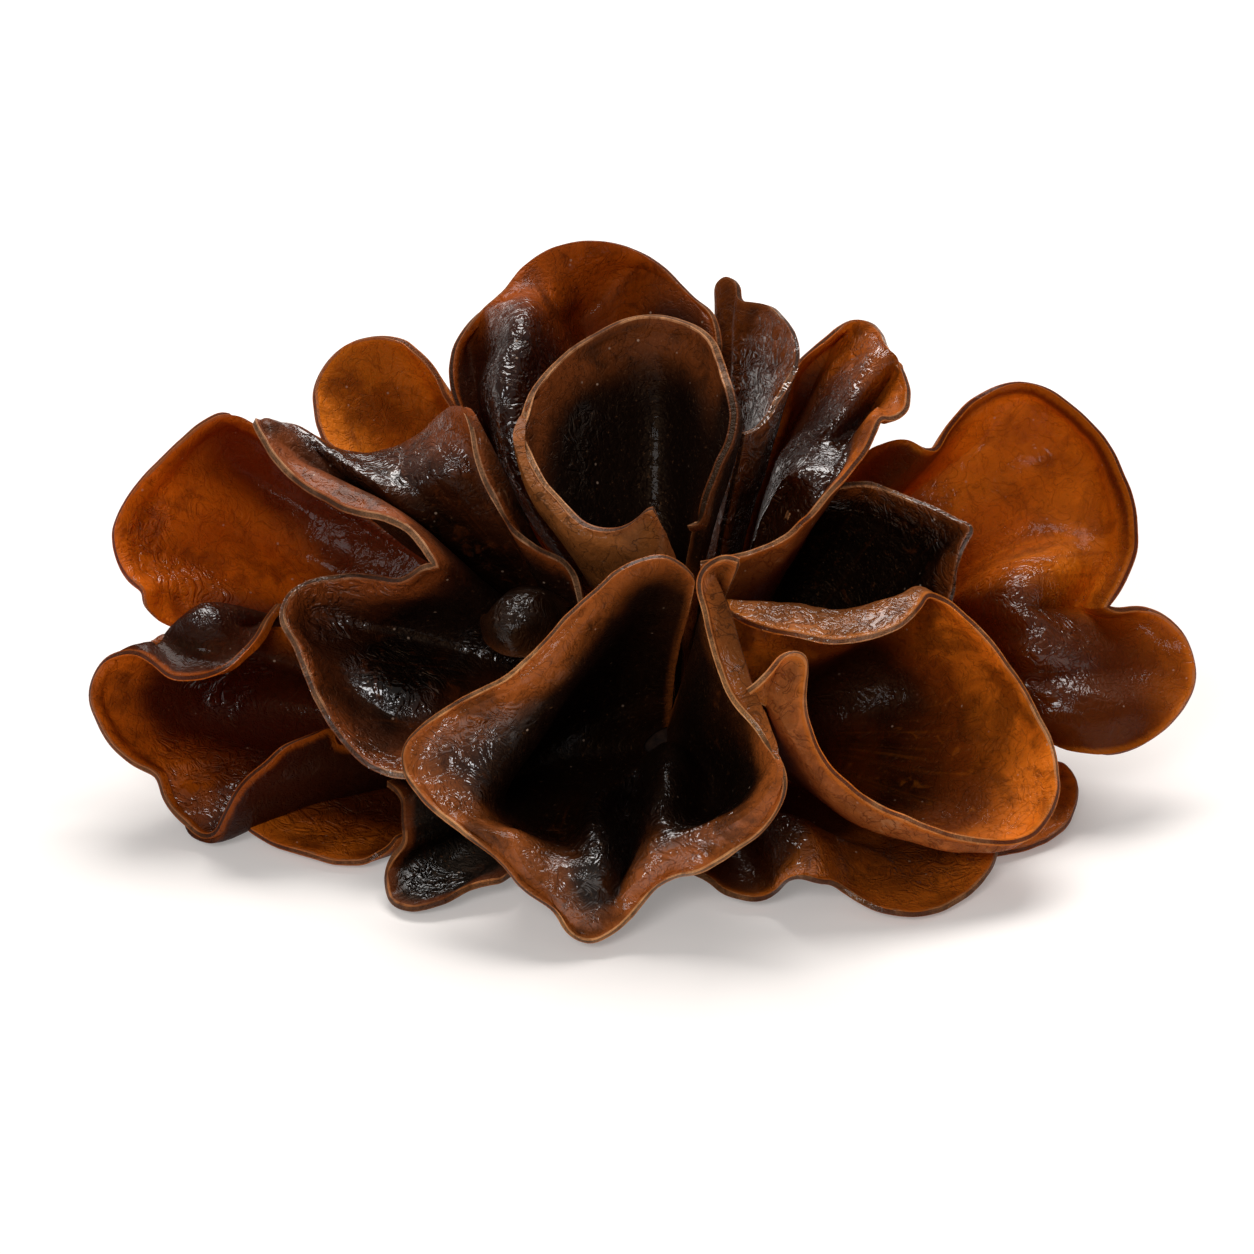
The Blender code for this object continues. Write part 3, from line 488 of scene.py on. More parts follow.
def ear_skin(name, deep, middle, outer, rim, outside, reach_mm, wet, glow, streaks):
    """The skin of an ear: near black at its foot, partly painted shade, clearer towards its rim, wet where
    it is folded.
    """
    skin = bpy.data.materials.new(name)
    skin.use_nodes = True
    tree = skin.node_tree
    shader = tree.nodes["Principled BSDF"]
    nodes = SkinNodes(tree)
    ranged, mixed, noise, times, plus = nodes.ranged, nodes.mixed, nodes.noise, nodes.times, nodes.plus
    math_of, off_middle = nodes.math_of, nodes.off_middle

    place = tree.nodes.new("ShaderNodeTexCoord").outputs["Object"]
    edge = nodes.attribute("edge")
    along = nodes.attribute("along")
    side = nodes.attribute("side")
    rays = noise(nodes.joined(along, times(edge, 0.10), side), 0.8, 5.0, 0.6)
    clouds = noise(place, 140.0, 6.0, 0.62, 0.5)
    blotches = noise(place, 48.0, 3.0, 0.5, 0.3)
    stretches = noise(place, 70.0, 3.0, 0.6, 0.6)
    flecks = noise(place, 420.0, 4.0, 0.6, 0.8)
    grain = noise(place, 2400.0, 4.0, 0.65)
    pores = noise(place, 1500.0, 2.0, 0.5, 1.2)
    clear = tuple(min(1.0, 1.35 * c) for c in outer)
    dark = toned(middle, 0.30)

    # Inside: clear near the rim, near black towards the root, partly its own darker skin and partly
    # painted shade of the hollow, with clouds, rays and flecks in it
    depth = plus(edge, plus(off_middle(clouds, reach_mm * 0.9), off_middle(blotches, reach_mm)))
    ramp = tree.nodes.new("ShaderNodeValToRGB")
    ramp.color_ramp.interpolation = "EASE"
    stops = ramp.color_ramp.elements
    stops[0].position = 0.02
    stops[0].color = (*outer, 1.0)
    stops[1].position = 0.90
    stops[1].color = (*deep, 1.0)
    stops.new(0.40).color = (*middle, 1.0)
    tree.links.new(ranged(depth, 0.0, reach_mm * 2.0), ramp.inputs["Fac"])
    inside_tone = mixed(ranged(rays, 0.52, 0.74, 0.0, 0.9 * streaks), ramp.outputs["Color"], clear)
    inside_tone = mixed(ranged(rays, 0.47, 0.28, 0.0, streaks), inside_tone, dark)
    inside_tone = mixed(ranged(clouds, 0.55, 0.36, 0.0, 0.7), inside_tone, dark)
    inside_tone = mixed(ranged(flecks, 0.60, 0.72, 0.0, 0.45), inside_tone, dark)
    inside_tone = mixed(ranged(flecks, 0.42, 0.30, 0.0, 0.14), inside_tone, clear)
    inside_tone = mixed(ranged(blotches, 0.50, 0.34, 0.0, 0.45), inside_tone, dark)

    # Outside: a duller, paler skin, mottled and finely cracked, with painted shade darkening it away
    # from the rim
    outside_tone = mixed(ranged(depth, 0.5, 0.65 * reach_mm), outside, toned(outside, 0.12))
    outside_tone = mixed(ranged(clouds, 0.60, 0.40, 0.0, 0.7), outside_tone, toned(outside, 0.30))
    outside_tone = mixed(ranged(flecks, 0.58, 0.44, 0.0, 0.5), outside_tone, toned(outside, 0.40))
    outside_tone = mixed(ranged(flecks, 0.60, 0.72, 0.0, 0.5), outside_tone, toned(rim, 0.55))
    colour = mixed(ranged(side, 0.90, 0.99), inside_tone, outside_tone)
    cracks = math_of("ABSOLUTE", math_of("SUBTRACT", noise(place, 330.0, 2.5, 0.5, 1.2), 0.5))
    cracks = ranged(cracks, 0.022, 0.0)
    colour = mixed(times(cracks, ranged(side, 0.0, 1.0, 0.22, 0.6)), colour, dark)

    # Both sides: painted shade in the folds and hollows and at the root, the root partly its own darker
    # skin, with pores, grain and scattered pale specks, brightened to stand as painted glints
    painted_shade = plus(nodes.attribute("shade"), off_middle(clouds, 0.5))
    # Painted shade: the shaded zones mixed towards near black
    colour = mixed(ranged(painted_shade, 0.22, 0.68, 0.0, 0.96), colour, toned(middle, 0.09, 0.0012))
    colour = mixed(ranged(pores, 0.40, 0.30, 0.0, 0.3), colour, dark)
    colour = mixed(ranged(grain, 0.60, 0.74, 0.0, 0.16), colour, rim)
    # Pale specks of the skin, brightened to stand as painted glints of the wet film
    dots = tree.nodes.new("ShaderNodeTexVoronoi")
    dots.inputs["Scale"].default_value = 620.0
    tree.links.new(place, dots.inputs["Vector"])
    parted = tree.nodes.new("ShaderNodeSeparateColor")
    tree.links.new(dots.outputs["Color"], parted.inputs[0])
    speck_and_glint = times(ranged(dots.outputs["Distance"], 0.13, 0.06), ranged(parted.outputs[0], 0.72, 0.90))
    colour = mixed(times(speck_and_glint, 0.6), colour, (0.62, 0.42, 0.30))

    # The lip: a fine pale line at each corner of the edge, partly the thin lip's paler skin and partly a
    # painted highlight where the rounded corner catches the light, broken in long stretches, and between
    # them the edge face, clear brown and crossed by fine ticks. Where painted shade lies, the lines fade
    # and the face goes near black.
    lit = ranged(nodes.attribute("shade"), 0.75, 0.30)
    broken = times(ranged(flecks, 0.36, 0.52, 0.35, 1.0), ranged(stretches, 0.42, 0.57, 0.12, 1.0))
    uneven = plus(edge, off_middle(rays, 1.0))
    colour = mixed(ranged(uneven, 0.2, 1.2, 0.35, 0.0), colour, clear)
    line = times(ranged(edge, 0.17, 0.05, 0.0, 0.95), ranged(side, 0.0, 1.0, 1.0, 0.55))
    colour = mixed(times(times(line, lit), broken), colour, rim)
    across_face = math_of("ABSOLUTE", math_of("SUBTRACT", times(side, 2.0), 1.0))
    ticks = noise(nodes.joined(along, times(side, 0.5)), 3.4, 2.0, 0.7)
    face = ranged(across_face, 0.94, 0.80)
    face_tone = mixed(ranged(flecks, 0.40, 0.58), toned(rim, 0.22, 0.003), toned(rim, 0.50))
    face_tone = mixed(ranged(ticks, 0.55, 0.44, 0.0, 0.5), face_tone, toned(rim, 0.12, 0.002))
    face_tone = mixed(ranged(stretches, 0.56, 0.44, 0.0, 0.85), face_tone, (0.042, 0.017, 0.012))
    face_tone = mixed(math_of("SUBTRACT", 1.0, lit), face_tone, toned(rim, 0.03, 0.001))
    colour = mixed(times(face, 0.95), colour, face_tone)
    tree.links.new(colour, shader.inputs["Base Color"])

    # The wet film: glossy in broad patches, and wrinkled where it is glossy
    wetness = ranged(plus(nodes.attribute("film"), off_middle(clouds, 1.4)), 0.15, 0.60)
    rough = plus(math_of("SUBTRACT", 0.50, times(wetness, 0.18 * wet)), off_middle(grain, 0.16))
    tree.links.new(rough, shader.inputs["Roughness"])
    tree.links.new(times(ranged(wetness, 0.0, 1.0, 0.12, 1.0), wet), shader.inputs["Coat Weight"])
    shader.inputs["Specular IOR Level"].default_value = 0.16
    shader.inputs["Specular Tint"].default_value = (1.0, 0.60, 0.32, 1.0)
    shader.inputs["Coat Roughness"].default_value = 0.06
    shader.inputs["Coat IOR"].default_value = 1.75

    # Fine relief: crinkles and ripples of the film, pores, cracks and the ticks of the lip
    crinkle = math_of("ABSOLUTE", math_of("SUBTRACT", noise(place, 430.0, 3.0, 0.5, 1.2), 0.5))
    crinkle = times(math_of("MINIMUM", crinkle, 0.12), 7.0)
    ripples = noise(nodes.joined(times(along, 0.45), edge, side), 1.1, 1.5, 0.45, 1.2)
    folds = times(plus(crinkle, times(ripples, 0.4)), ranged(wetness, 0.0, 1.0, 0.22, 1.0))
    height = plus(folds, times(pores, ranged(wetness, 0.0, 1.0, 0.40, 0.15)))
    height = plus(height, times(times(ticks, face), 0.6))
    height = math_of("SUBTRACT", height, times(cracks, 0.22))
    relief = nodes.dents(height, 0.8, 0.0004)
    tree.links.new(relief, shader.inputs["Normal"])
    tree.links.new(nodes.dents(folds, 0.5, 0.0003), shader.inputs["Coat Normal"])

    # Light that comes through the thin sheet
    through = tree.nodes.new("ShaderNodeBsdfTranslucent")
    tree.links.new(mixed(0.4, colour, clear), through.inputs["Color"])
    tree.links.new(relief, through.inputs["Normal"])
    blend = tree.nodes.new("ShaderNodeMixShader")
    blend.inputs["Fac"].default_value = glow
    tree.links.new(shader.outputs[0], blend.inputs[1])
    tree.links.new(through.outputs[0], blend.inputs[2])
    tree.links.new(blend.outputs[0], tree.nodes["Material Output"].inputs["Surface"])
    return skin


top_cup_skin = ear_skin(
    "top_cup_skin", deep=(0.003, 0.001, 0.0007), middle=(0.05, 0.012, 0.003), outer=(0.2, 0.046, 0.009),
    rim=(0.66, 0.3, 0.13), outside=(0.42, 0.13, 0.028), reach_mm=8, wet=0.32, glow=0.12, streaks=0.12,
)
grow_ear(
    "top_cup", "ear_top_cup", foot=(2, 72),
    rim=[
        (7.6, 12.3, 7), (8.7, 12.7, 10.5), (9.3, 15.5, 11), (10.8, 19, 10.5), (12.2, 22, 9.5),
        (12.8, 25.2, 8), (12.4, 28.2, 6), (11.3, 31.7, 3), (9.4, 35.1, 1), (6.6, 36.7, -1), (3.4, 37.4, -2),
        (0.2, 37, -2), (-3.1, 35.4, -1), (-6.3, 33.5, 0), (-9.5, 30.5, 2), (-11.8, 27.1, 5),
        (-12.5, 23.4, 8), (-11.8, 20.6, 10), (-10.2, 17.6, 12), (-7.9, 15.1, 13), (-5.4, 12.6, 14.5),
        (-2.6, 11.5, 15.5), (-0.3, 11.9, 16.5), (1.6, 13.3, 18), (2.8, 14.3, 19), (3.9, 12.7, 18),
        (4.7, 10.4, 16), (5.6, 8.4, 14),
    ],
    skin=top_cup_skin,
    pins=[
        (16.5, 0.88, (-12.8, 21.3, 9)), (17.6, 0.88, (-12, 17.8, 11)), (18.7, 0.88, (-9.7, 14.4, 12.5)),
        (19.8, 0.88, (-6.9, 11.6, 14)), (21, 0.88, (-3.7, 10, 14.5)), (22.4, 0.88, (-0.5, 9.1, 15)),
        (23.8, 0.88, (2.1, 9.1, 16.5)), (5, 0.88, (13.2, 24.9, 6)), (4, 0.88, (12.9, 22.2, 7)),
        (3, 0.88, (11.4, 18.8, 8.5)), (2, 0.88, (9.9, 15.3, 9.5)), (1, 0.9, (9.4, 12.8, 10)),
        (10, 0.6, (3.4, 25.2, -6)), (13, 0.6, (-4.9, 25.2, -2)), (7, 0.6, (8.5, 25.2, 0)),
    ],
    foot_size=0.15, bulge=0.05, thick=1.35,
    wet=[(14, 0.6, 5, 0.08), (17, 0.45, 6, 0.08)],
    # The dark patches are painted shade inside the cup.
    dark=[(2.5, 0.85, 8, 0.25), (4.5, 0.9, 6, 0.2), (9, 0.5, 16, 0.22), (15, 0.5, 12, 0.2)],
)

# The back fan: the tallest ear, a wide thin sheet behind the top cup. Amber where the light comes
# through it, with one wet, wrinkled fold that runs down its left half to the root.
back_fan_skin = ear_skin(
    "back_fan_skin", deep=(0.012, 0.002, 0.0006), middle=(0.16, 0.023, 0.001), outer=(0.44, 0.08, 0.003),
    rim=(0.42, 0.16, 0.06), outside=(0.26, 0.06, 0.008), reach_mm=13, wet=0.85, glow=0.3, streaks=0.2,
)
grow_ear(
    "back_fan", "ear_back_fan", foot=(190, 78),
    rim=[
        (-19.4, 23.8, -3), (-20.8, 28.4, -5), (-21.1, 31.9, -8), (-19.9, 35.2, -10), (-17.5, 38, -12),
        (-14.9, 40.2, -14), (-12.8, 42.9, -16), (-9.8, 45.1, -18), (-6.1, 46.2, -19), (-2.4, 46.2, -20),
        (0.9, 45.2, -20), (4.3, 43.2, -18), (7.8, 39.7, -16), (10.3, 37.3, -13), (11.1, 33.7, -11),
    ],
    skin=back_fan_skin,
    pins=[
        (5.7, 0.9, (-11.3, 39.7, -11)), (5.4, 0.8, (-11.7, 37.2, -4.5)), (4.9, 0.68, (-12.4, 33.5, -0.5)),
        (4.2, 0.55, (-13.6, 29.3, 2)), (3.4, 0.42, (-13.7, 24.2, 3.5)), (3, 0.3, (-12.6, 18.7, 3)),
        (7, 0.9, (-7.3, 39.9, -20)), (6.6, 0.8, (-8.2, 36.7, -19)), (6.4, 0.66, (-8.2, 33, -15)),
        (5.8, 0.52, (-8.4, 28.4, -10)), (3.6, 0.86, (-16.7, 36.7, -11)), (2.9, 0.74, (-16.7, 32.1, -8)),
        (2.2, 0.6, (-17.2, 27.5, -5)), (10, 0.7, (0.4, 36.2, -21)), (12, 0.75, (5.9, 35.3, -16)),
    ],
    wet_all=0.05,
    wet=[(5.2, 0.68, 6, 0.18), (4.2, 0.45, 7, 0.25), (3.2, 0.3, 8, 0.2)],
    # The dark patches are painted shade in its folds and towards the root.
    dark=[(1, 0.6, 8, 0.5), (5, 0.45, 6, 0.3), (3, 0.4, 8, 0.3), (13, 0.6, 12, 0.3)],
)

# The bud: a small young ear right of the back fan, thick and glossy, with a paddle-shaped bud
# that still stands at its top.
bud_skin = ear_skin(
    "bud_skin", deep=(0.008, 0.002, 0.001), middle=(0.08, 0.014, 0.0016), outer=(0.22, 0.045, 0.0035),
    rim=(0.45, 0.18, 0.07), outside=(0.24, 0.06, 0.01), reach_mm=7, wet=1, glow=0.18, streaks=0.15,
)
grow_ear(
    "bud", "ear_bud", foot=(98, 72),
    rim=[
        (10.2, 39.2, -19), (10.1, 40.8, -19), (11.4, 42.0, -18), (12.7, 41.2, -17), (13.3, 39.2, -16),
        (14.8, 38.9, -15), (16.9, 38.5, -13), (19.0, 36.6, -10), (20.2, 34.1, -7), (20.3, 31.8, -5),
        (19.0, 28.6, -3), (17.4, 25.9, -1), (15.6, 23.8, 0), (13.9, 23.2, 1),
    ],
    skin=bud_skin,
    bends=[(0, 0.5, 8, 0.3, (2.5, 0, 0)), (8, 0.75, 5, 0.2, (0, 0, 3))],
    bulge=0.0, wet_all=0.1,
    wet=[(9, 0.85, 6, 0.15), (12, 0.72, 7, 0.25), (6, 0.8, 4, 0.12)],
    # The dark patches are painted shade in its middle and towards the root.
    dark=[(9.5, 0.72, 4, 0.16), (13, 0.5, 8, 0.3)],
)

# The upper right cup: a deep ear whose long near rim runs down to the middle of the clump. Its
# inside is wet and folded, its edge pale where the sheet is thinnest.
upper_right_skin = ear_skin(
    "upper_right_skin", deep=(0.008, 0.002, 0.001), middle=(0.22, 0.04, 0.0025), outer=(0.6, 0.13, 0.006),
    rim=(0.6, 0.27, 0.11), outside=(0.34, 0.1, 0.02), reach_mm=9, wet=0.9, glow=0.26, streaks=0.2,
)
grow_ear(
    "upper_right", "ear_upper_right", foot=(84, 53),
    rim=[
        (15.7, 23.5, -12), (17.5, 25.1, -13), (19, 28.1, -14), (20.1, 31.1, -15), (21.9, 32.9, -15),
        (24.2, 34.9, -15), (26.1, 36.5, -15), (27.7, 36.9, -14), (29.5, 36.4, -12.5), (30.6, 35.2, -11),
        (31.2, 33.6, -9), (32.6, 31.8, -7), (33.7, 29, -4), (33.5, 26.7, -1), (32.5, 25.3, 1),
        (31.4, 24.9, 2), (30.5, 24.9, 3.5), (29.6, 23.2, 5), (28.4, 20.9, 6.5), (26.5, 18.4, 8),
        (24.5, 16.1, 9), (22.4, 13.5, 10), (20.9, 12.6, 10.5), (19.6, 11, 10), (16.8, 9.5, 10),
        (13.4, 8.5, 10), (8.8, 7.7, 9),
    ],
    skin=upper_right_skin,
    pins=[
        (5, 0.8, (23.5, 31.3, -17)), (6, 0.6, (22.1, 26.2, -15)), (7.5, 0.84, (26.1, 32.5, -16)),
        (9.6, 0.86, (29.1, 32, -6.5)), (9.2, 0.72, (27, 28.5, -5)), (8.8, 0.6, (24.9, 25.1, -4)),
        (12, 0.84, (31.4, 29.5, -8)), (12.5, 0.65, (27.9, 24.4, -6)), (10.5, 0.5, (22.1, 21.8, -3)),
        (12, 0.42, (20.5, 18.6, 2.5)), (15, 0.45, (23.1, 17.2, 4)), (18, 0.6, (24.7, 17, 4)),
        (9, 0.4, (19.1, 20.7, -8)), (14, 0.3, (18, 15.1, -2)),
    ],
    foot_size=0.14, bulge=0.03, soft=0.2, wet_all=0.1,
    wet=[(9.2, 0.75, 4, 0.2), (11, 0.5, 6, 0.12), (13, 0.4, 8, 0.14), (16, 0.5, 12, 0.2)],
    # The dark patches are painted shade in its folds and hollow.
    dark=[(18, 0.5, 26, 0.3), (3, 0.5, 8, 0.3), (11, 0.45, 8, 0.12)],
)

# The pocket: a dark hollow ear between the upper right cup and the big right cup, its skin near
# black, painted shade of the hollow. Only its rolled rim and its right edge are left lighter, where
# they catch the light.
pocket_skin = ear_skin(
    "pocket_skin", deep=(0.002, 0.0009, 0.0007), middle=(0.018, 0.0045, 0.0015), outer=(0.2, 0.045, 0.007),
    rim=(0.6, 0.25, 0.1), outside=(0.34, 0.1, 0.02), reach_mm=3, wet=0.6, glow=0.1, streaks=0.1,
)
grow_ear(
    "pocket", "ear_pocket", foot=(84, 22),
    rim=[
        (19.6, 13.1, 1), (22.2, 14.9, 1), (24.8, 16.1, 1), (26.8, 16.7, 1), (28.9, 16.8, 1),
        (32.2, 16.1, 2), (35.8, 14.6, 4), (39, 13.1, 6), (41.5, 12, 8), (40.6, 10.1, 8), (39.7, 7.8, 7),
        (39.2, 5, 5), (38.5, 2, 4), (36.4, -0.4, 3),
    ],
    skin=pocket_skin,
    bends=[(0, 0.5, 8, 0.3, (-1, 2.5, 0))],
    bulge=0, sag=(0, 0, -4), wet_all=0.1,
    wet=[(4, 0.95, 30, 0.06)],
)

# The far right dish: a wide thin ear, clear amber in its dish with fine rays, and a lower lobe
# that is wet and wrinkled where it folds back to the root, darkened there with painted shade.
far_right_skin = ear_skin(
    "far_right_skin", deep=(0.16, 0.022, 0.0008), middle=(0.62, 0.125, 0.0035), outer=(0.8, 0.2, 0.0065),
    rim=(0.5, 0.24, 0.1), outside=(0.4, 0.1, 0.012), reach_mm=19, wet=0.7, glow=0.44, streaks=0.35,
)
grow_ear(
    "far_right", "ear_far_right", foot=(118, 36),
    rim=[
        (28.9, 20.3, -12), (30.8, 22, -11), (33.6, 22.4, -10), (35.8, 21.4, -8), (37.1, 21.5, -9),
        (38.4, 23.6, -11), (40.6, 26.3, -13), (43.6, 28.4, -14), (46.9, 29.3, -14), (50.3, 28.6, -13),
        (53.5, 26.4, -12), (56.5, 23.4, -10), (58.9, 19.6, -8), (60.5, 15.6, -6), (61.1, 11.6, -4),
        (60.7, 8, -3), (59.4, 4.9, -2), (57.7, 2.4, -2), (59.4, 2, -2), (61.8, 2.2, -3), (64.8, 1.1, -3),
        (67.2, -1.6, -3), (68.3, -5.8, -2), (67.2, -9.2, -1), (64.7, -12.2, 1), (61.6, -14.3, 2),
        (58.2, -15.4, 3), (55, -15, 3), (51.7, -13.9, 1), (48, -10.6, -2),
    ],
    skin=far_right_skin,
    pins=[
        (15.5, 0.7, (45.7, 5.6, 0)), (18, 0.7, (46.4, 0.8, 3)), (20.5, 0.7, (47, -3.4, 4)),
        (23, 0.72, (49.1, -6.8, 4)), (25.5, 0.8, (53.2, -9.7, 5)), (14.5, 0.57, (40.9, 5, -11)),
        (18, 0.57, (40.9, 0.2, -11)), (21, 0.57, (41.8, -4.6, -9)), (20, 0.84, (55, -2.2, -1)),
        (22, 0.85, (59.2, -5.8, -1)), (17, 0.86, (52.2, 2.3, -7)), (11, 0.75, (49, 19.4, -17)),
        (7, 0.75, (40, 21.2, -16)), (14, 0.8, (52.6, 9.8, -10)),
    ],
    soft=0.28,
    wet=[(16, 0.66, 4, 0.1), (18, 0.7, 5, 0.1), (21, 0.7, 6, 0.11), (24, 0.7, 6, 0.09)],
    # The dark patches are painted shade in its folds, at its root and along its rim.
    dark=[
        (19, 0.56, 8, 0.24), (21, 0.62, 9, 0.26), (25, 0.66, 12, 0.24), (27, 0.8, 10, 0.26),
        (29, 0.7, 9, 0.5), (0, 0.8, 14, 0.5), (10, 1.0, 26, 0.045),
    ],
)

# The right cup: the widest open cup, its top edge curled over and its left end drawn into a beak.
# Soft and matte inside, darkened at the left with painted shade and clear brown at the right.
front_right_skin = ear_skin(
    "front_right_skin", deep=(0.008, 0.002, 0.0008), middle=(0.2, 0.038, 0.0025), outer=(0.86, 0.2, 0.011),
    rim=(0.72, 0.36, 0.15), outside=(0.5, 0.155, 0.034), reach_mm=14, wet=0.5, glow=0.28, streaks=0.12,
)
grow_ear(
    "front_right", "ear_front_right", foot=(52, 26),
    rim=[
        (12.1, 2, 13), (13.6, 1, 16), (15.6, 0, 17.5), (18.7, -0.8, 18), (21.4, -1.2, 18), (24, -1.6, 18),
        (27.1, -1.6, 17), (30.2, -1.1, 16), (33.4, 0.5, 15), (34.9, 2.3, 13), (36.1, 4, 11),
        (37.8, 3.2, 10), (39.6, 2, 10), (42.2, -0.2, 10), (44.8, -3.4, 10), (47.2, -6.8, 10),
        (49.2, -10.2, 11), (50.8, -13.6, 12), (51.6, -16.7, 14), (51.8, -19.6, 16), (51, -22.3, 18),
        (49.6, -24.2, 20), (47.4, -25.6, 21.5), (44.8, -26, 22.5), (41.6, -25.6, 23.5), (38.2, -24.8, 24.5),
        (34.6, -23.6, 25.5), (31, -22, 26), (28, -20.2, 26.5), (25.3, -18, 27), (23.4, -15.6, 27.5),
        (22.2, -13, 28), (21.5, -10.2, 28.5), (21.4, -7.6, 29), (21.7, -4.9, 29.5), (21.5, -3.5, 30),
        (20.3, -2.9, 30), (18.7, -3.5, 30), (17.2, -5.4, 30.5), (15.6, -7, 31), (14.6, -7.8, 31),
    ],
    skin=front_right_skin,
    pins=[
        (1, 0.9, (13.3, 3.2, 12)), (2.5, 0.9, (17.2, 2.9, 11.5)), (4, 0.9, (21.4, 2.5, 11.5)),
        (5.5, 0.9, (25.3, 1.9, 11.5)), (6.5, 0.9, (28.4, 2.3, 11.5)), (7.5, 0.9, (31.3, 3.2, 11.5)),
        (8.5, 0.92, (33.4, 3.8, 11)), (24.5, 0.87, (41.2, -26.6, 20)), (25.5, 0.87, (37.6, -26.3, 21)),
        (26.5, 0.87, (33.7, -25.3, 22)), (27.5, 0.87, (29.8, -24.1, 22)), (28.5, 0.87, (26.5, -22.3, 22.5)),
        (29.5, 0.87, (23.9, -20, 23.5)), (30.5, 0.87, (21.7, -17.3, 24)), (31.5, 0.87, (20.2, -14.6, 25)),
        (32.5, 0.87, (18.7, -12.4, 26.5)), (33.5, 0.87, (17.3, -10.4, 27.5)),
        (35.5, 0.88, (16.8, -9.2, 28)), (39.5, 0.84, (18.2, -9.4, 24)), (39.5, 0.62, (19, -12, 15)),
        (14, 0.6, (36.4, -8.8, 0)), (18, 0.6, (37, -17.2, 6)), (12, 0.6, (31.6, -4, -1)),
    ],
    wet_all=0.08,
    wet=[(4, 0.95, 14, 0.08)],
    # The dark patches are painted shade in its hollow.
    dark=[(31, 0.55, 12, 0.22), (10, 0.45, 16, 0.18)],
)

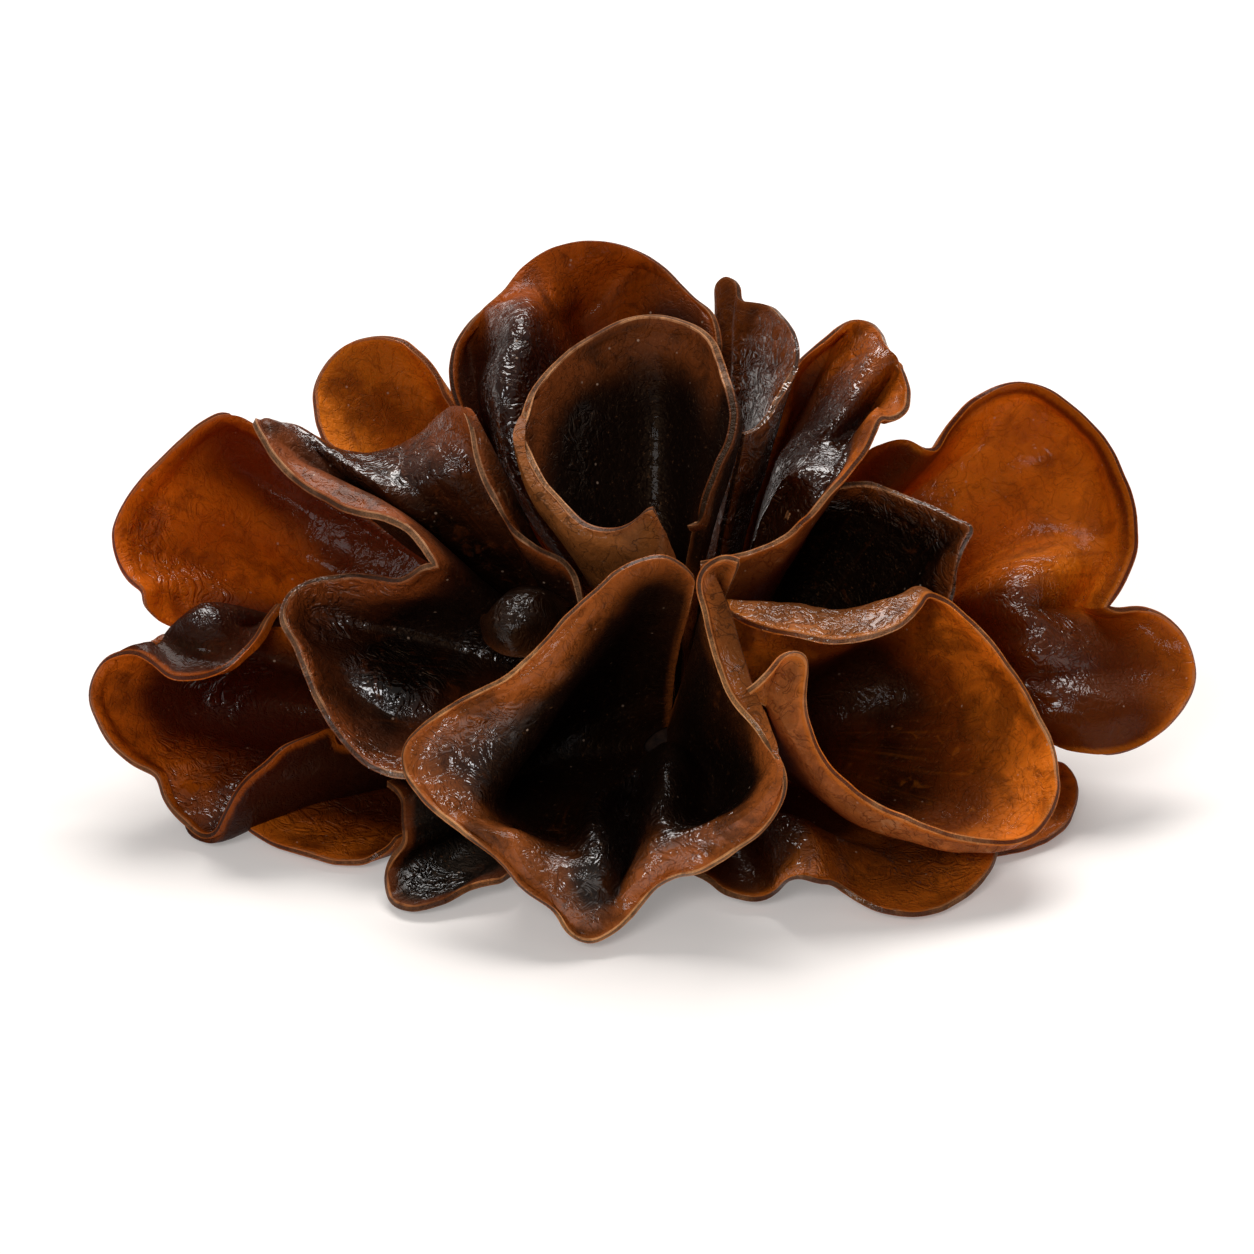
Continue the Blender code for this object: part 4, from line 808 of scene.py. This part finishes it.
# The front funnel: the biggest ear, a funnel that opens at the viewer. Its left side leans over
# it like a lapel, its lower tip is wet and wrinkled, and a fold parts off a pocket at the right.
front_funnel_skin = ear_skin(
    "front_funnel_skin", deep=(0.0008, 0.0003, 0.0002), middle=(0.045, 0.011, 0.0025),
    outer=(0.4, 0.098, 0.016), rim=(0.74, 0.34, 0.13), outside=(0.46, 0.12, 0.02), reach_mm=8, wet=0.8,
    glow=0.12, streaks=0.12,
)
grow_ear(
    "front_funnel", "ear_front", foot=(-5, 32),
    rim=[
        (13.4, 7.9, 33), (11.8, 8.5, 32.5), (9.6, 7.2, 31.5), (8.9, 5.3, 30.5), (9.4, 1.7, 30),
        (9.8, -0.7, 30), (11, -4.6, 30), (13, -8.9, 31), (15.8, -12.7, 32), (18.5, -16.6, 33),
        (19, -19.6, 33.5), (18, -22.2, 33), (15.7, -25, 32.5), (12.1, -27.5, 31.5), (8.4, -29.5, 30.5),
        (5.8, -30, 29.5), (3.4, -31.4, 29.5), (0.6, -34.6, 30), (-2.6, -37.3, 31), (-5, -37.9, 31),
        (-7.2, -36.7, 31), (-8.9, -34, 31), (-12.4, -31.4, 31), (-15.8, -27.7, 30), (-19.8, -24.6, 29),
        (-23.6, -21.5, 27), (-26.3, -18.1, 25), (-26.9, -15, 24), (-25.1, -12.4, 24), (-21, -9.5, 25),
        (-16.2, -7.2, 26), (-11.6, -3.6, 27), (-7.4, 1.1, 27), (-3.5, 4.8, 26), (0.4, 7.6, 25),
        (4.1, 8.5, 24), (6.7, 7.4, 22), (8.2, 5.6, 20),
    ],
    skin=front_funnel_skin,
    pins=[
        (25.2, 0.62, (-17.9, -21.5, 25)), (26, 0.5, (-14.9, -18.5, 20)), (26, 0.32, (-15.2, -18.1, 7)),
        (27, 0.5, (-12, -14.6, 19)), (27, 0.32, (-13.1, -15, 6)), (29, 0.5, (-8.5, -9, 20)),
        (29, 0.33, (-9.7, -10.2, 7)), (31, 0.6, (-4.7, -4.4, 21)), (31, 0.42, (-5.3, -5.8, 8)),
        (33, 0.75, (-0.6, 1.4, 21)), (33, 0.5, (-0.6, -1.6, 8)), (24, 0.88, (-18.1, -24.2, 28.5)),
        (23, 0.88, (-13.8, -25.3, 30)), (21.5, 0.88, (-10.3, -30, 31.5)), (23, 0.6, (-8.6, -26.2, 21)),
        (18.6, 0.85, (-3.2, -33.1, 30)), (18.6, 0.7, (-2.2, -29, 28)), (18.6, 0.55, (-2.8, -25.2, 24)),
        (18.6, 0.4, (-3.6, -21.4, 16)), (16.6, 0.75, (1, -27.7, 20)), (16.6, 0.6, (0.8, -24.2, 13)),
        (16.6, 0.45, (1, -20.4, 7)), (15.4, 0.88, (2.5, -28.9, 30.5)), (15.4, 0.75, (2.8, -26.2, 29)),
        (15.4, 0.6, (3.1, -22, 25)), (15.4, 0.45, (3.5, -17.5, 18)), (15.4, 0.3, (4.3, -14.4, 8)),
        (11.5, 0.6, (12, -20.8, 17)), (8.5, 0.6, (10.9, -14.2, 16)), (13.5, 0.6, (7.6, -23.2, 20)),
        (14, 0.88, (8.4, -25.3, 30)), (12.6, 0.88, (12.5, -23.3, 32)), (11, 0.88, (16.2, -20.2, 33)),
        (4, 0.86, (11.6, 2.3, 27)), (5, 0.86, (12.4, -0.6, 27)), (6, 0.86, (13.6, -4.2, 27.5)),
        (7, 0.86, (14.9, -8, 28.5)),
    ],
    foot_size=0.13, bulge=-0.05, wet_all=0.12,
    wet=[
        (18.6, 0.74, 7, 0.16), (18.6, 0.5, 8, 0.16), (15.4, 0.72, 4, 0.12), (13.5, 0.8, 6, 0.12),
        (27, 0.8, 8, 0.1), (23, 0.7, 5, 0.1),
    ],
    # The dark patches are painted shade deep in the funnel, at its side edges inside it and at its tip.
    dark=[
        (4, 0.45, 18, 0.22), (12, 0.5, 8, 0.2), (17, 0.42, 12, 0.18), (30, 0.42, 16, 0.24),
        (34, 0.5, 16, 0.32), (26, 0.35, 12, 0.2), (37, 0.35, 9, 0.42), (0, 0.35, 9, 0.42),
        (18.2, 0.74, 7, 0.15), (12, 0.7, 8, 0.13),
    ],
)

# The left ruffle: one long sheet that rises to a point, rolls over into a roof, and comes round
# again below as an open cup with a pale rolled lip.
left_ruffle_skin = ear_skin(
    "left_ruffle_skin", deep=(0.0016, 0.0006, 0.0004), middle=(0.06, 0.0125, 0.003),
    outer=(0.26, 0.056, 0.01), rim=(0.56, 0.27, 0.13), outside=(0.16, 0.038, 0.008), reach_mm=7, wet=0.75,
    glow=0.1, streaks=0.12,
)
grow_ear(
    "left_ruffle", "ear_left_ruffle", foot=(-82, 56),
    rim=[
        (-4.4, 3, 3), (-6.1, 7.7, 5), (-9.8, 9.5, 6), (-13.1, 11.9, 7), (-15.6, 15.8, 9), (-17.6, 20, 9),
        (-18.4, 23.9, 8), (-19.3, 26.2, 7), (-20.6, 24.8, 2), (-22.7, 22.4, -5), (-27.2, 19.8, -10),
        (-33.2, 19.1, -12), (-38.6, 21.2, -11), (-42.6, 23.4, -7), (-44.8, 24.8, -2), (-43.8, 22.4, 1),
        (-41.6, 19.4, 3), (-38.6, 16.7, 5), (-34.4, 14.3, 7), (-29.9, 13.3, 9), (-27, 12.1, 11),
        (-24.6, 9.7, 13), (-22.7, 7.4, 15), (-24.8, 7, 13), (-27.2, 5.4, 10), (-30.6, 5.9, 7),
        (-34.4, 6.1, 5), (-38.3, 5.4, 5), (-40.9, 3.6, 6), (-41.5, 1.1, 8), (-40.2, -1.6, 10),
        (-38.6, -5.2, 12), (-37, -9.1, 13), (-34.7, -13, 14), (-31.8, -16, 16), (-29, -17.6, 17),
        (-26.6, -17.9, 18),
    ],
    skin=left_ruffle_skin,
    pins=[
        (8.3, 0.88, (-21.5, 25.6, 3.5)), (9, 0.88, (-23.2, 24.1, 0)), (10, 0.86, (-28.1, 20.5, -3.5)),
        (11, 0.86, (-33.6, 20.3, -5)), (12, 0.86, (-39, 23.3, -4.5)), (13, 0.9, (-42, 24.4, -3.5)),
        (10, 0.66, (-26, 16.4, 2)), (11, 0.66, (-29, 16.4, 3)), (9, 0.6, (-21.2, 17.6, 4)),
        (16, 0.82, (-39.2, 19.8, -1)), (18, 0.8, (-33.8, 16.7, 1)), (26, 0.85, (-33.2, 2, 1)),
        (28, 0.85, (-37.1, 0.2, 2)), (30, 0.8, (-35, -4, 4)), (32, 0.8, (-32.6, -8.8, 6)),
        (31, 0.62, (-29, -7, 6)), (34, 0.85, (-29, -13.6, 10)), (28, 0.55, (-24.8, -2.8, -2)),
        (24, 0.7, (-22.4, 3.2, 3)),
    ],
    bends=[(0, 0.5, 16, 0.3, (-3.9, -1, 0))],
    foot_size=0.09, thick=1.1,
    wet=[
        (10.5, 0.82, 9, 0.12), (12.5, 0.82, 7, 0.13), (9, 0.75, 5, 0.12), (27.5, 0.82, 5, 0.1),
        (31, 0.62, 7, 0.12), (25, 0.35, 10, 0.15), (31, 0.96, 26, 0.04),
    ],
    # The dark patches are painted shade in its hollows.
    dark=[(24, 0.45, 16, 0.3), (2, 0.6, 12, 0.3)],
)

# The far left dish: a wide thin ear behind the ruffle that lets the light through, clear amber
# with darker clouds towards the root.
far_left_skin = ear_skin(
    "far_left_skin", deep=(0.1, 0.013, 0.0008), middle=(0.42, 0.068, 0.0016), outer=(0.75, 0.16, 0.004),
    rim=(0.4, 0.16, 0.055), outside=(0.32, 0.075, 0.009), reach_mm=17, wet=0.55, glow=0.42, streaks=0.3,
)
grow_ear(
    "far_left", "ear_far_left", foot=(-97, 36),
    rim=[
        (-41, 21.2, -9), (-43.8, 23.4, -8), (-47.9, 25.6, -5), (-50.6, 24.8, -5), (-53.6, 22.4, -4),
        (-57, 19.1, -3), (-59.9, 15.5, -2), (-61.6, 11.4, 0), (-61.1, 8, 1), (-59.6, 5.6, 2),
        (-58.1, 4.3, 2), (-58, 2.6, 1.5), (-56.5, 1, 0), (-53.9, 0.1, -2),
    ],
    skin=far_left_skin,
    pins=[(6, 0.6, (-39.2, 8, -12)), (9, 0.7, (-49.4, 5.6, -7)), (3, 0.7, (-44, 17.6, -12))],
    foot_size=0.14, soft=0.28, wet_all=0.05,
    wet=[(10, 0.78, 5, 0.08), (7, 0.9, 5, 0.05)],
    # The dark patches are painted shade towards the root and at its right side.
    dark=[(0.5, 0.7, 14, 0.4), (12.6, 0.5, 7, 0.3), (5, 0.35, 12, 0.2)],
)

# The low left ear: folded over itself with a glossy bump, amber on its outer skin, its lower
# lobe rolled under at the floor.
low_left_skin = ear_skin(
    "low_left_skin", deep=(0.014, 0.0026, 0.0007), middle=(0.22, 0.037, 0.002), outer=(0.6, 0.12, 0.005),
    rim=(0.44, 0.17, 0.06), outside=(0.06, 0.015, 0.005), reach_mm=10, wet=0.7, glow=0.34, streaks=0.25,
)
grow_ear(
    "low_left", "ear_low_left", foot=(-77, 16),
    rim=[
        (-41.8, 2.9, 0), (-43.6, 0.5, 3), (-44.9, -1.7, 6), (-46.8, -3.8, 8), (-49.2, -5.5, 10),
        (-51.8, -6.2, 11), (-54.5, -6, 11), (-56.4, -4.9, 10), (-58, -3.7, 9), (-59.6, -3.1, 8),
        (-61.7, -3.5, 7), (-63.5, -5, 6), (-64.4, -7.2, 6), (-64.4, -9.2, 6), (-63.5, -11, 6),
        (-62.9, -12.6, 6), (-61.8, -14.3, 6), (-59.9, -16, 6), (-57.7, -17.2, 6), (-56.3, -18.1, 6),
        (-55.9, -19.8, 6), (-55, -21.6, 6.5), (-53.3, -23.5, 7.5), (-51.5, -25, 8), (-50.2, -25.2, 9),
        (-49.2, -24.5, 10.5), (-48.4, -22.8, 12), (-47.5, -20.8, 13.5), (-46, -18.6, 14.5),
        (-43.8, -16.7, 14.5), (-41.2, -14.5, 14), (-38.4, -13.2, 12), (-36, -12.1, 10),
    ],
    skin=low_left_skin,
    pins=[
        (1.4, 0.86, (-45.6, 0.2, 2)), (2.6, 0.94, (-47.3, -1.6, 5)), (3.9, 0.94, (-50.1, -2.8, 6)),
        (2.8, 0.87, (-48.6, 0.6, 7.5)), (4.2, 0.87, (-51.8, 0.4, 7.5)), (3.4, 0.79, (-50.1, 2.8, 3)),
        (5.6, 0.87, (-54.3, -0.6, 4)), (7, 0.88, (-57, -1.9, 6)), (9.4, 0.9, (-60.6, -2.9, 7)),
        (26.5, 0.87, (-46.1, -24.1, 9)), (27.5, 0.87, (-44.5, -22.2, 9.5)), (28.6, 0.87, (-42.6, -20, 10)),
        (29.6, 0.87, (-40.1, -18.4, 10.5)), (30.6, 0.87, (-37.4, -16.7, 10)), (14, 0.7, (-52.4, -10.6, -3)),
        (17, 0.7, (-50, -14.2, -2)), (22, 0.7, (-47, -19.6, 4)), (12, 0.5, (-42.8, -8.8, -6)),
    ],
    foot_size=0.14, soft=0.22,
    wet=[(3.5, 0.84, 2.0, 0.04), (18, 0.74, 4, 0.1), (22, 0.78, 5, 0.12), (10, 0.62, 7, 0.06)],
    # The dark patches are painted shade in its folds and under its rolled rims.
    dark=[
        (13, 0.66, 6, 0.12), (17, 0.45, 12, 0.18), (8, 0.55, 8, 0.2), (26, 0.7, 7, 0.25), (30, 0.6, 9, 0.3),
        (4.4, 0.8, 5, 0.1), (28.5, 0.98, 10, 0.07),
    ],
)

# The under left ear: a flat ear that lies under the low left one and only shows its wet amber
# front.
under_left_skin = ear_skin(
    "under_left_skin", deep=(0.012, 0.003, 0.001), middle=(0.3, 0.055, 0.003), outer=(0.66, 0.15, 0.008),
    rim=(0.44, 0.17, 0.06), outside=(0.28, 0.065, 0.009), reach_mm=9, wet=0.85, glow=0.32, streaks=0.25,
)
grow_ear(
    "under_left", "ear_under_left", foot=(-54, 5),
    rim=[
        (-40.2, -19, 0), (-43.1, -20.3, 3), (-45, -22, 6), (-45.7, -23.8, 8), (-43.8, -25.3, 9),
        (-40.4, -26.8, 10.5), (-36.2, -28.1, 12.5), (-32.3, -28.3, 13), (-29.2, -27.1, 13),
        (-27.5, -25.3, 13),
    ],
    skin=under_left_skin,
    wet_all=0.1,
    wet=[(3, 0.7, 5, 0.12), (5, 0.8, 6, 0.12), (6, 0.62, 5, 0.1)],
    # The dark patches are painted shade where it lies under the low left ear.
    dark=[(2, 0.5, 8, 0.3), (5, 0.55, 7, 0.12), (8, 0.7, 6, 0.3)],
)

# The small front ear: a nearly black young ear left of the funnel's tip, resting on the floor.
small_front_skin = ear_skin(
    "small_front_skin", deep=(0.0012, 0.0005, 0.0004), middle=(0.005, 0.0014, 0.0007),
    outer=(0.1, 0.02, 0.003), rim=(0.5, 0.18, 0.055), outside=(0.06, 0.016, 0.004), reach_mm=2.2, wet=0.6,
    glow=0.08, streaks=0.1,
)
grow_ear(
    "small_front", "ear_small_front", foot=(-36, 12),
    rim=[
        (-28.8, -18.8, 12), (-27.2, -20.6, 15), (-26.9, -23.6, 17), (-26.8, -26.2, 18), (-28.4, -28.3, 18),
        (-29.0, -30.6, 19.5), (-28.2, -33.1, 21.5), (-25.8, -34.0, 23), (-22.4, -33.2, 23),
        (-18.8, -31.3, 22), (-15.2, -30.4, 21),
    ],
    skin=small_front_skin,
    wet=[(7, 0.86, 5, 0.08)],
    # The dark patch is painted shade in its hollow.
    dark=[(4, 0.6, 9, 0.25)],
)

# The low right ear: it lies on the floor under the right cup, drawn up into one pleat, amber at
# its thin edge.
low_right_skin = ear_skin(
    "low_right_skin", deep=(0.008, 0.002, 0.0008), middle=(0.3, 0.066, 0.006), outer=(0.62, 0.15, 0.011),
    rim=(0.55, 0.24, 0.09), outside=(0.3, 0.08, 0.013), reach_mm=9, wet=0.6, glow=0.26, streaks=0.2,
)
grow_ear(
    "low_right", "ear_low_right", foot=(28, 5),
    rim=[
        (7.6, -29.4, 20), (9.7, -30.4, 20), (11.6, -31.8, 21), (14, -32.6, 22), (16.6, -32.5, 22),
        (18, -31.6, 23), (19.3, -30.4, 25), (21.1, -30, 26), (22.9, -30.5, 25), (24.6, -30.7, 23),
        (26.8, -32.2, 23), (30.4, -34.1, 24), (34.2, -34.6, 24.5), (37.8, -34, 23), (41.2, -31.9, 20),
        (43.6, -29.2, 17), (44.5, -26.5, 14), (44.8, -24.4, 11),
    ],
    skin=low_right_skin,
    pins=[
        (5.6, 0.86, (17.9, -28.6, 22)), (6.6, 0.84, (19.1, -25.6, 23)), (7.4, 0.84, (20.9, -24.4, 23.5)),
        (8.4, 0.84, (22.6, -25.6, 23)), (9.2, 0.86, (23.9, -28.7, 20)), (4, 0.8, (15.4, -28, 15)),
        (11, 0.8, (28.6, -28, 14)),
    ],
    wet_all=0.05,
    wet=[(7, 0.84, 6, 0.12), (14, 0.8, 10, 0.12)],
    # The dark patches are painted shade in its pleat and towards the root.
    dark=[(2, 0.7, 9, 0.3), (6.5, 0.66, 4, 0.2), (13, 0.4, 12, 0.13)],
)

# The under right ear: a small amber lobe that peeps out behind the right cup.
under_right_skin = ear_skin(
    "under_right_skin", deep=(0.05, 0.01, 0.0012), middle=(0.34, 0.068, 0.003), outer=(0.6, 0.135, 0.005),
    rim=(0.42, 0.16, 0.06), outside=(0.3, 0.075, 0.01), reach_mm=9, wet=0.45, glow=0.36, streaks=0.25,
)
grow_ear(
    "under_right", "ear_under_right", foot=(72, 5),
    rim=[
        (50.2, -16.6, -3), (52.8, -17.0, -1), (54.0, -18.6, 1), (54.0, -20.8, 3), (52.7, -23.8, 6),
        (50.2, -25.8, 8), (46.6, -27.0, 10), (43.0, -27.5, 11),
    ],
    skin=under_right_skin,
    wet_all=0.2,
)

# The back left ear: a round brown ear behind the ruffle, with a soft cloudy inner skin.
back_left_skin = ear_skin(
    "back_left_skin", deep=(0.016, 0.004, 0.001), middle=(0.42, 0.085, 0.004), outer=(0.78, 0.2, 0.009),
    rim=(0.42, 0.16, 0.06), outside=(0.3, 0.075, 0.01), reach_mm=10, wet=0.4, glow=0.34, streaks=0.15,
)
grow_ear(
    "back_left", "ear_back_left", foot=(-146, 54),
    rim=[
        (-36.2, 22.4, -14), (-37.3, 25.8, -16), (-37.1, 29.4, -18), (-35.0, 32.6, -19), (-32.0, 34.4, -20),
        (-28.2, 34.8, -20), (-24.8, 33.2, -18), (-22.2, 30.6, -17), (-21.0, 28.0, -16),
    ],
    skin=back_left_skin,
    bends=[(8, 0.5, 14, 0.3, (-3, 0, -3))],
    sag=(0, 0, -3),
    wet=[(5, 0.6, 6, 0.1)],
)

# The inner knob: a small wet lump of an ear that never opened, deep between the ruffle and the
# funnel.
inner_knob_skin = ear_skin(
    "inner_knob_skin", deep=(0.01, 0.003, 0.0012), middle=(0.03, 0.0075, 0.002), outer=(0.07, 0.018, 0.004),
    rim=(0.12, 0.045, 0.017), outside=(0.05, 0.013, 0.003), reach_mm=5, wet=0.45, glow=0.05, streaks=0.1,
)
grow_ear(
    "inner_knob", "ear_inner_knob", foot=(-48, 54),
    rim=[
        (-17.4, -0.1, 3), (-16.7, -2, 7), (-14.8, -3.4, 10), (-12.2, -3.7, 11), (-9.7, -3, 10),
        (-7.9, -1.3, 7.5), (-7.2, 0.8, 4),
    ],
    skin=inner_knob_skin,
    pins=[
        (1, 0.75, (-15.8, 1.6, 8.5)), (2.5, 0.75, (-13.8, 2.9, 10)), (4, 0.75, (-10.9, 3.1, 10)),
        (5, 0.75, (-9, 2.2, 8)), (3, 0.5, (-12.2, 4.2, 4)),
    ],
    foot_size=0.3, thick=1.2, wet_all=0.05,
    wet=[(2.6, 0.78, 3, 0.1)],
)

# The rear ears: three plain wide ears on the side that the photo doesn't show. They fill the back
# of the clump as the front is filled, lower and less ruffled.
rear_skin = ear_skin(
    "rear_skin", deep=(0.012, 0.003, 0.001), middle=(0.16, 0.03, 0.0028), outer=(0.34, 0.068, 0.0045),
    rim=(0.45, 0.18, 0.065), outside=(0.26, 0.066, 0.01), reach_mm=12, wet=0.6, glow=0.28, streaks=0.2,
)
grow_ear(
    "rear_mid", "ear_rear_mid", foot=(180, 42),
    rim=[
        (-15, 19, -30), (-17.5, 17.5, -37), (-15, 14, -45), (-9, 11, -51), (-3, 10, -54), (3, 11.5, -53),
        (9, 10.5, -54), (15, 12.5, -50), (19.5, 16, -43), (20, 19, -35),
    ],
    skin=rear_skin,
    wet_all=0.2,
)
grow_ear(
    "rear_left", "ear_rear_left", foot=(-145, 20),
    rim=[
        (-33, 9, -24), (-39, 8, -29), (-42, 5.5, -36), (-38, 3.5, -43), (-31, 4.5, -46), (-24, 5.5, -50),
        (-16, 6.5, -51), (-9, 8, -48),
    ],
    skin=rear_skin,
    wet_all=0.2,
)
grow_ear(
    "rear_right", "ear_rear_right", foot=(140, 20),
    rim=[
        (13, 8, -48), (20, 6, -51), (27, 4.5, -49), (34, 5.5, -47), (41, 4, -43), (46, 5.5, -37),
        (46, 8.5, -30), (41, 10, -24),
    ],
    skin=rear_skin,
    wet_all=0.2,
)

# The floor and the light. The clump stands on a plain pale surface. One wide soft light hangs above
# and behind it, and a smaller, cooler one at the front left puts the gleam on the wet folds.
FLOOR_SIZE = 4.0
FLOOR_COLOUR = (0.78, 0.735, 0.70, 1.0)
# The floor glows faintly: a painted glow that lifts its shadows and lights the ears from below.
FLOOR_GLOW = (1.0, 0.96, 0.93, 1.0)
FLOOR_GLOW_STRENGTH = 0.24

bpy.ops.object.select_all(action="DESELECT")
bpy.ops.mesh.primitive_plane_add(size=FLOOR_SIZE, location=(0.0, 0.0, 0.0))
floor = bpy.context.object
floor.name = "floor"
pale = bpy.data.materials.new("pale_floor")
pale.use_nodes = True
paper = pale.node_tree.nodes["Principled BSDF"]
paper.inputs["Base Color"].default_value = FLOOR_COLOUR
paper.inputs["Emission Color"].default_value = FLOOR_GLOW
paper.inputs["Emission Strength"].default_value = FLOOR_GLOW_STRENGTH
paper.inputs["Roughness"].default_value = 0.75
paper.inputs["Specular IOR Level"].default_value = 0.2
floor.data.materials.append(pale)


def aimed(thing, place, target):
    """Puts a lamp or the camera at a place, looking at a target."""
    thing.location = place
    thing.rotation_euler = (Vector(target) - Vector(place)).to_track_quat("-Z", "Y").to_euler()


def softbox(name, place, width, depth, power, tint):
    """One soft rectangular lamp that points at the clump."""
    bpy.ops.object.light_add(type="AREA")
    lamp = bpy.context.object
    lamp.name = name
    lamp.data.shape = "RECTANGLE"
    lamp.data.size = width
    lamp.data.size_y = depth
    lamp.data.energy = power
    lamp.data.color = tint
    aimed(lamp, place, (0.0, 0.0, 0.02))


softbox(
    "top_light", place=(0.03, 0.52, 0.80), width=0.72, depth=0.46, power=10.8, tint=(1.0, 0.99, 0.98)
)
softbox(
    "front_light", place=(-0.26, -0.85, 0.62), width=0.42, depth=0.28, power=4.4,
    tint=(0.97, 0.98, 1.0),
)

ROOM_COLOUR = (1.0, 0.995, 0.985, 1.0)
ROOM_STRENGTH = 0.18
room = bpy.data.worlds.new("pale_room")
room.use_nodes = True
room.node_tree.nodes["Background"].inputs["Color"].default_value = ROOM_COLOUR
room.node_tree.nodes["Background"].inputs["Strength"].default_value = ROOM_STRENGTH
bpy.context.scene.world = room
bpy.context.scene.view_settings.view_transform = "Standard"

# The camera: a long lens at the picture's viewing angle, aimed at the middle of the picture.
PICTURE_MIDDLE = Vector((-0.0046, -0.0065, 0.0201))
TO_VIEWER = Vector((0.0, -math.cos(VIEW_TILT), math.sin(VIEW_TILT)))
LENS_MM = 215.3
FILM_WIDTH_MM = 36.0
NEAR_LIMIT = 0.02

bpy.ops.object.camera_add()
camera = bpy.context.object
camera.name = "photo_camera"
camera.data.sensor_width = FILM_WIDTH_MM
camera.data.lens = LENS_MM
camera.data.clip_start = NEAR_LIMIT
aimed(camera, PICTURE_MIDDLE + TO_VIEWER * STAND_OFF, PICTURE_MIDDLE)
bpy.context.scene.camera = camera
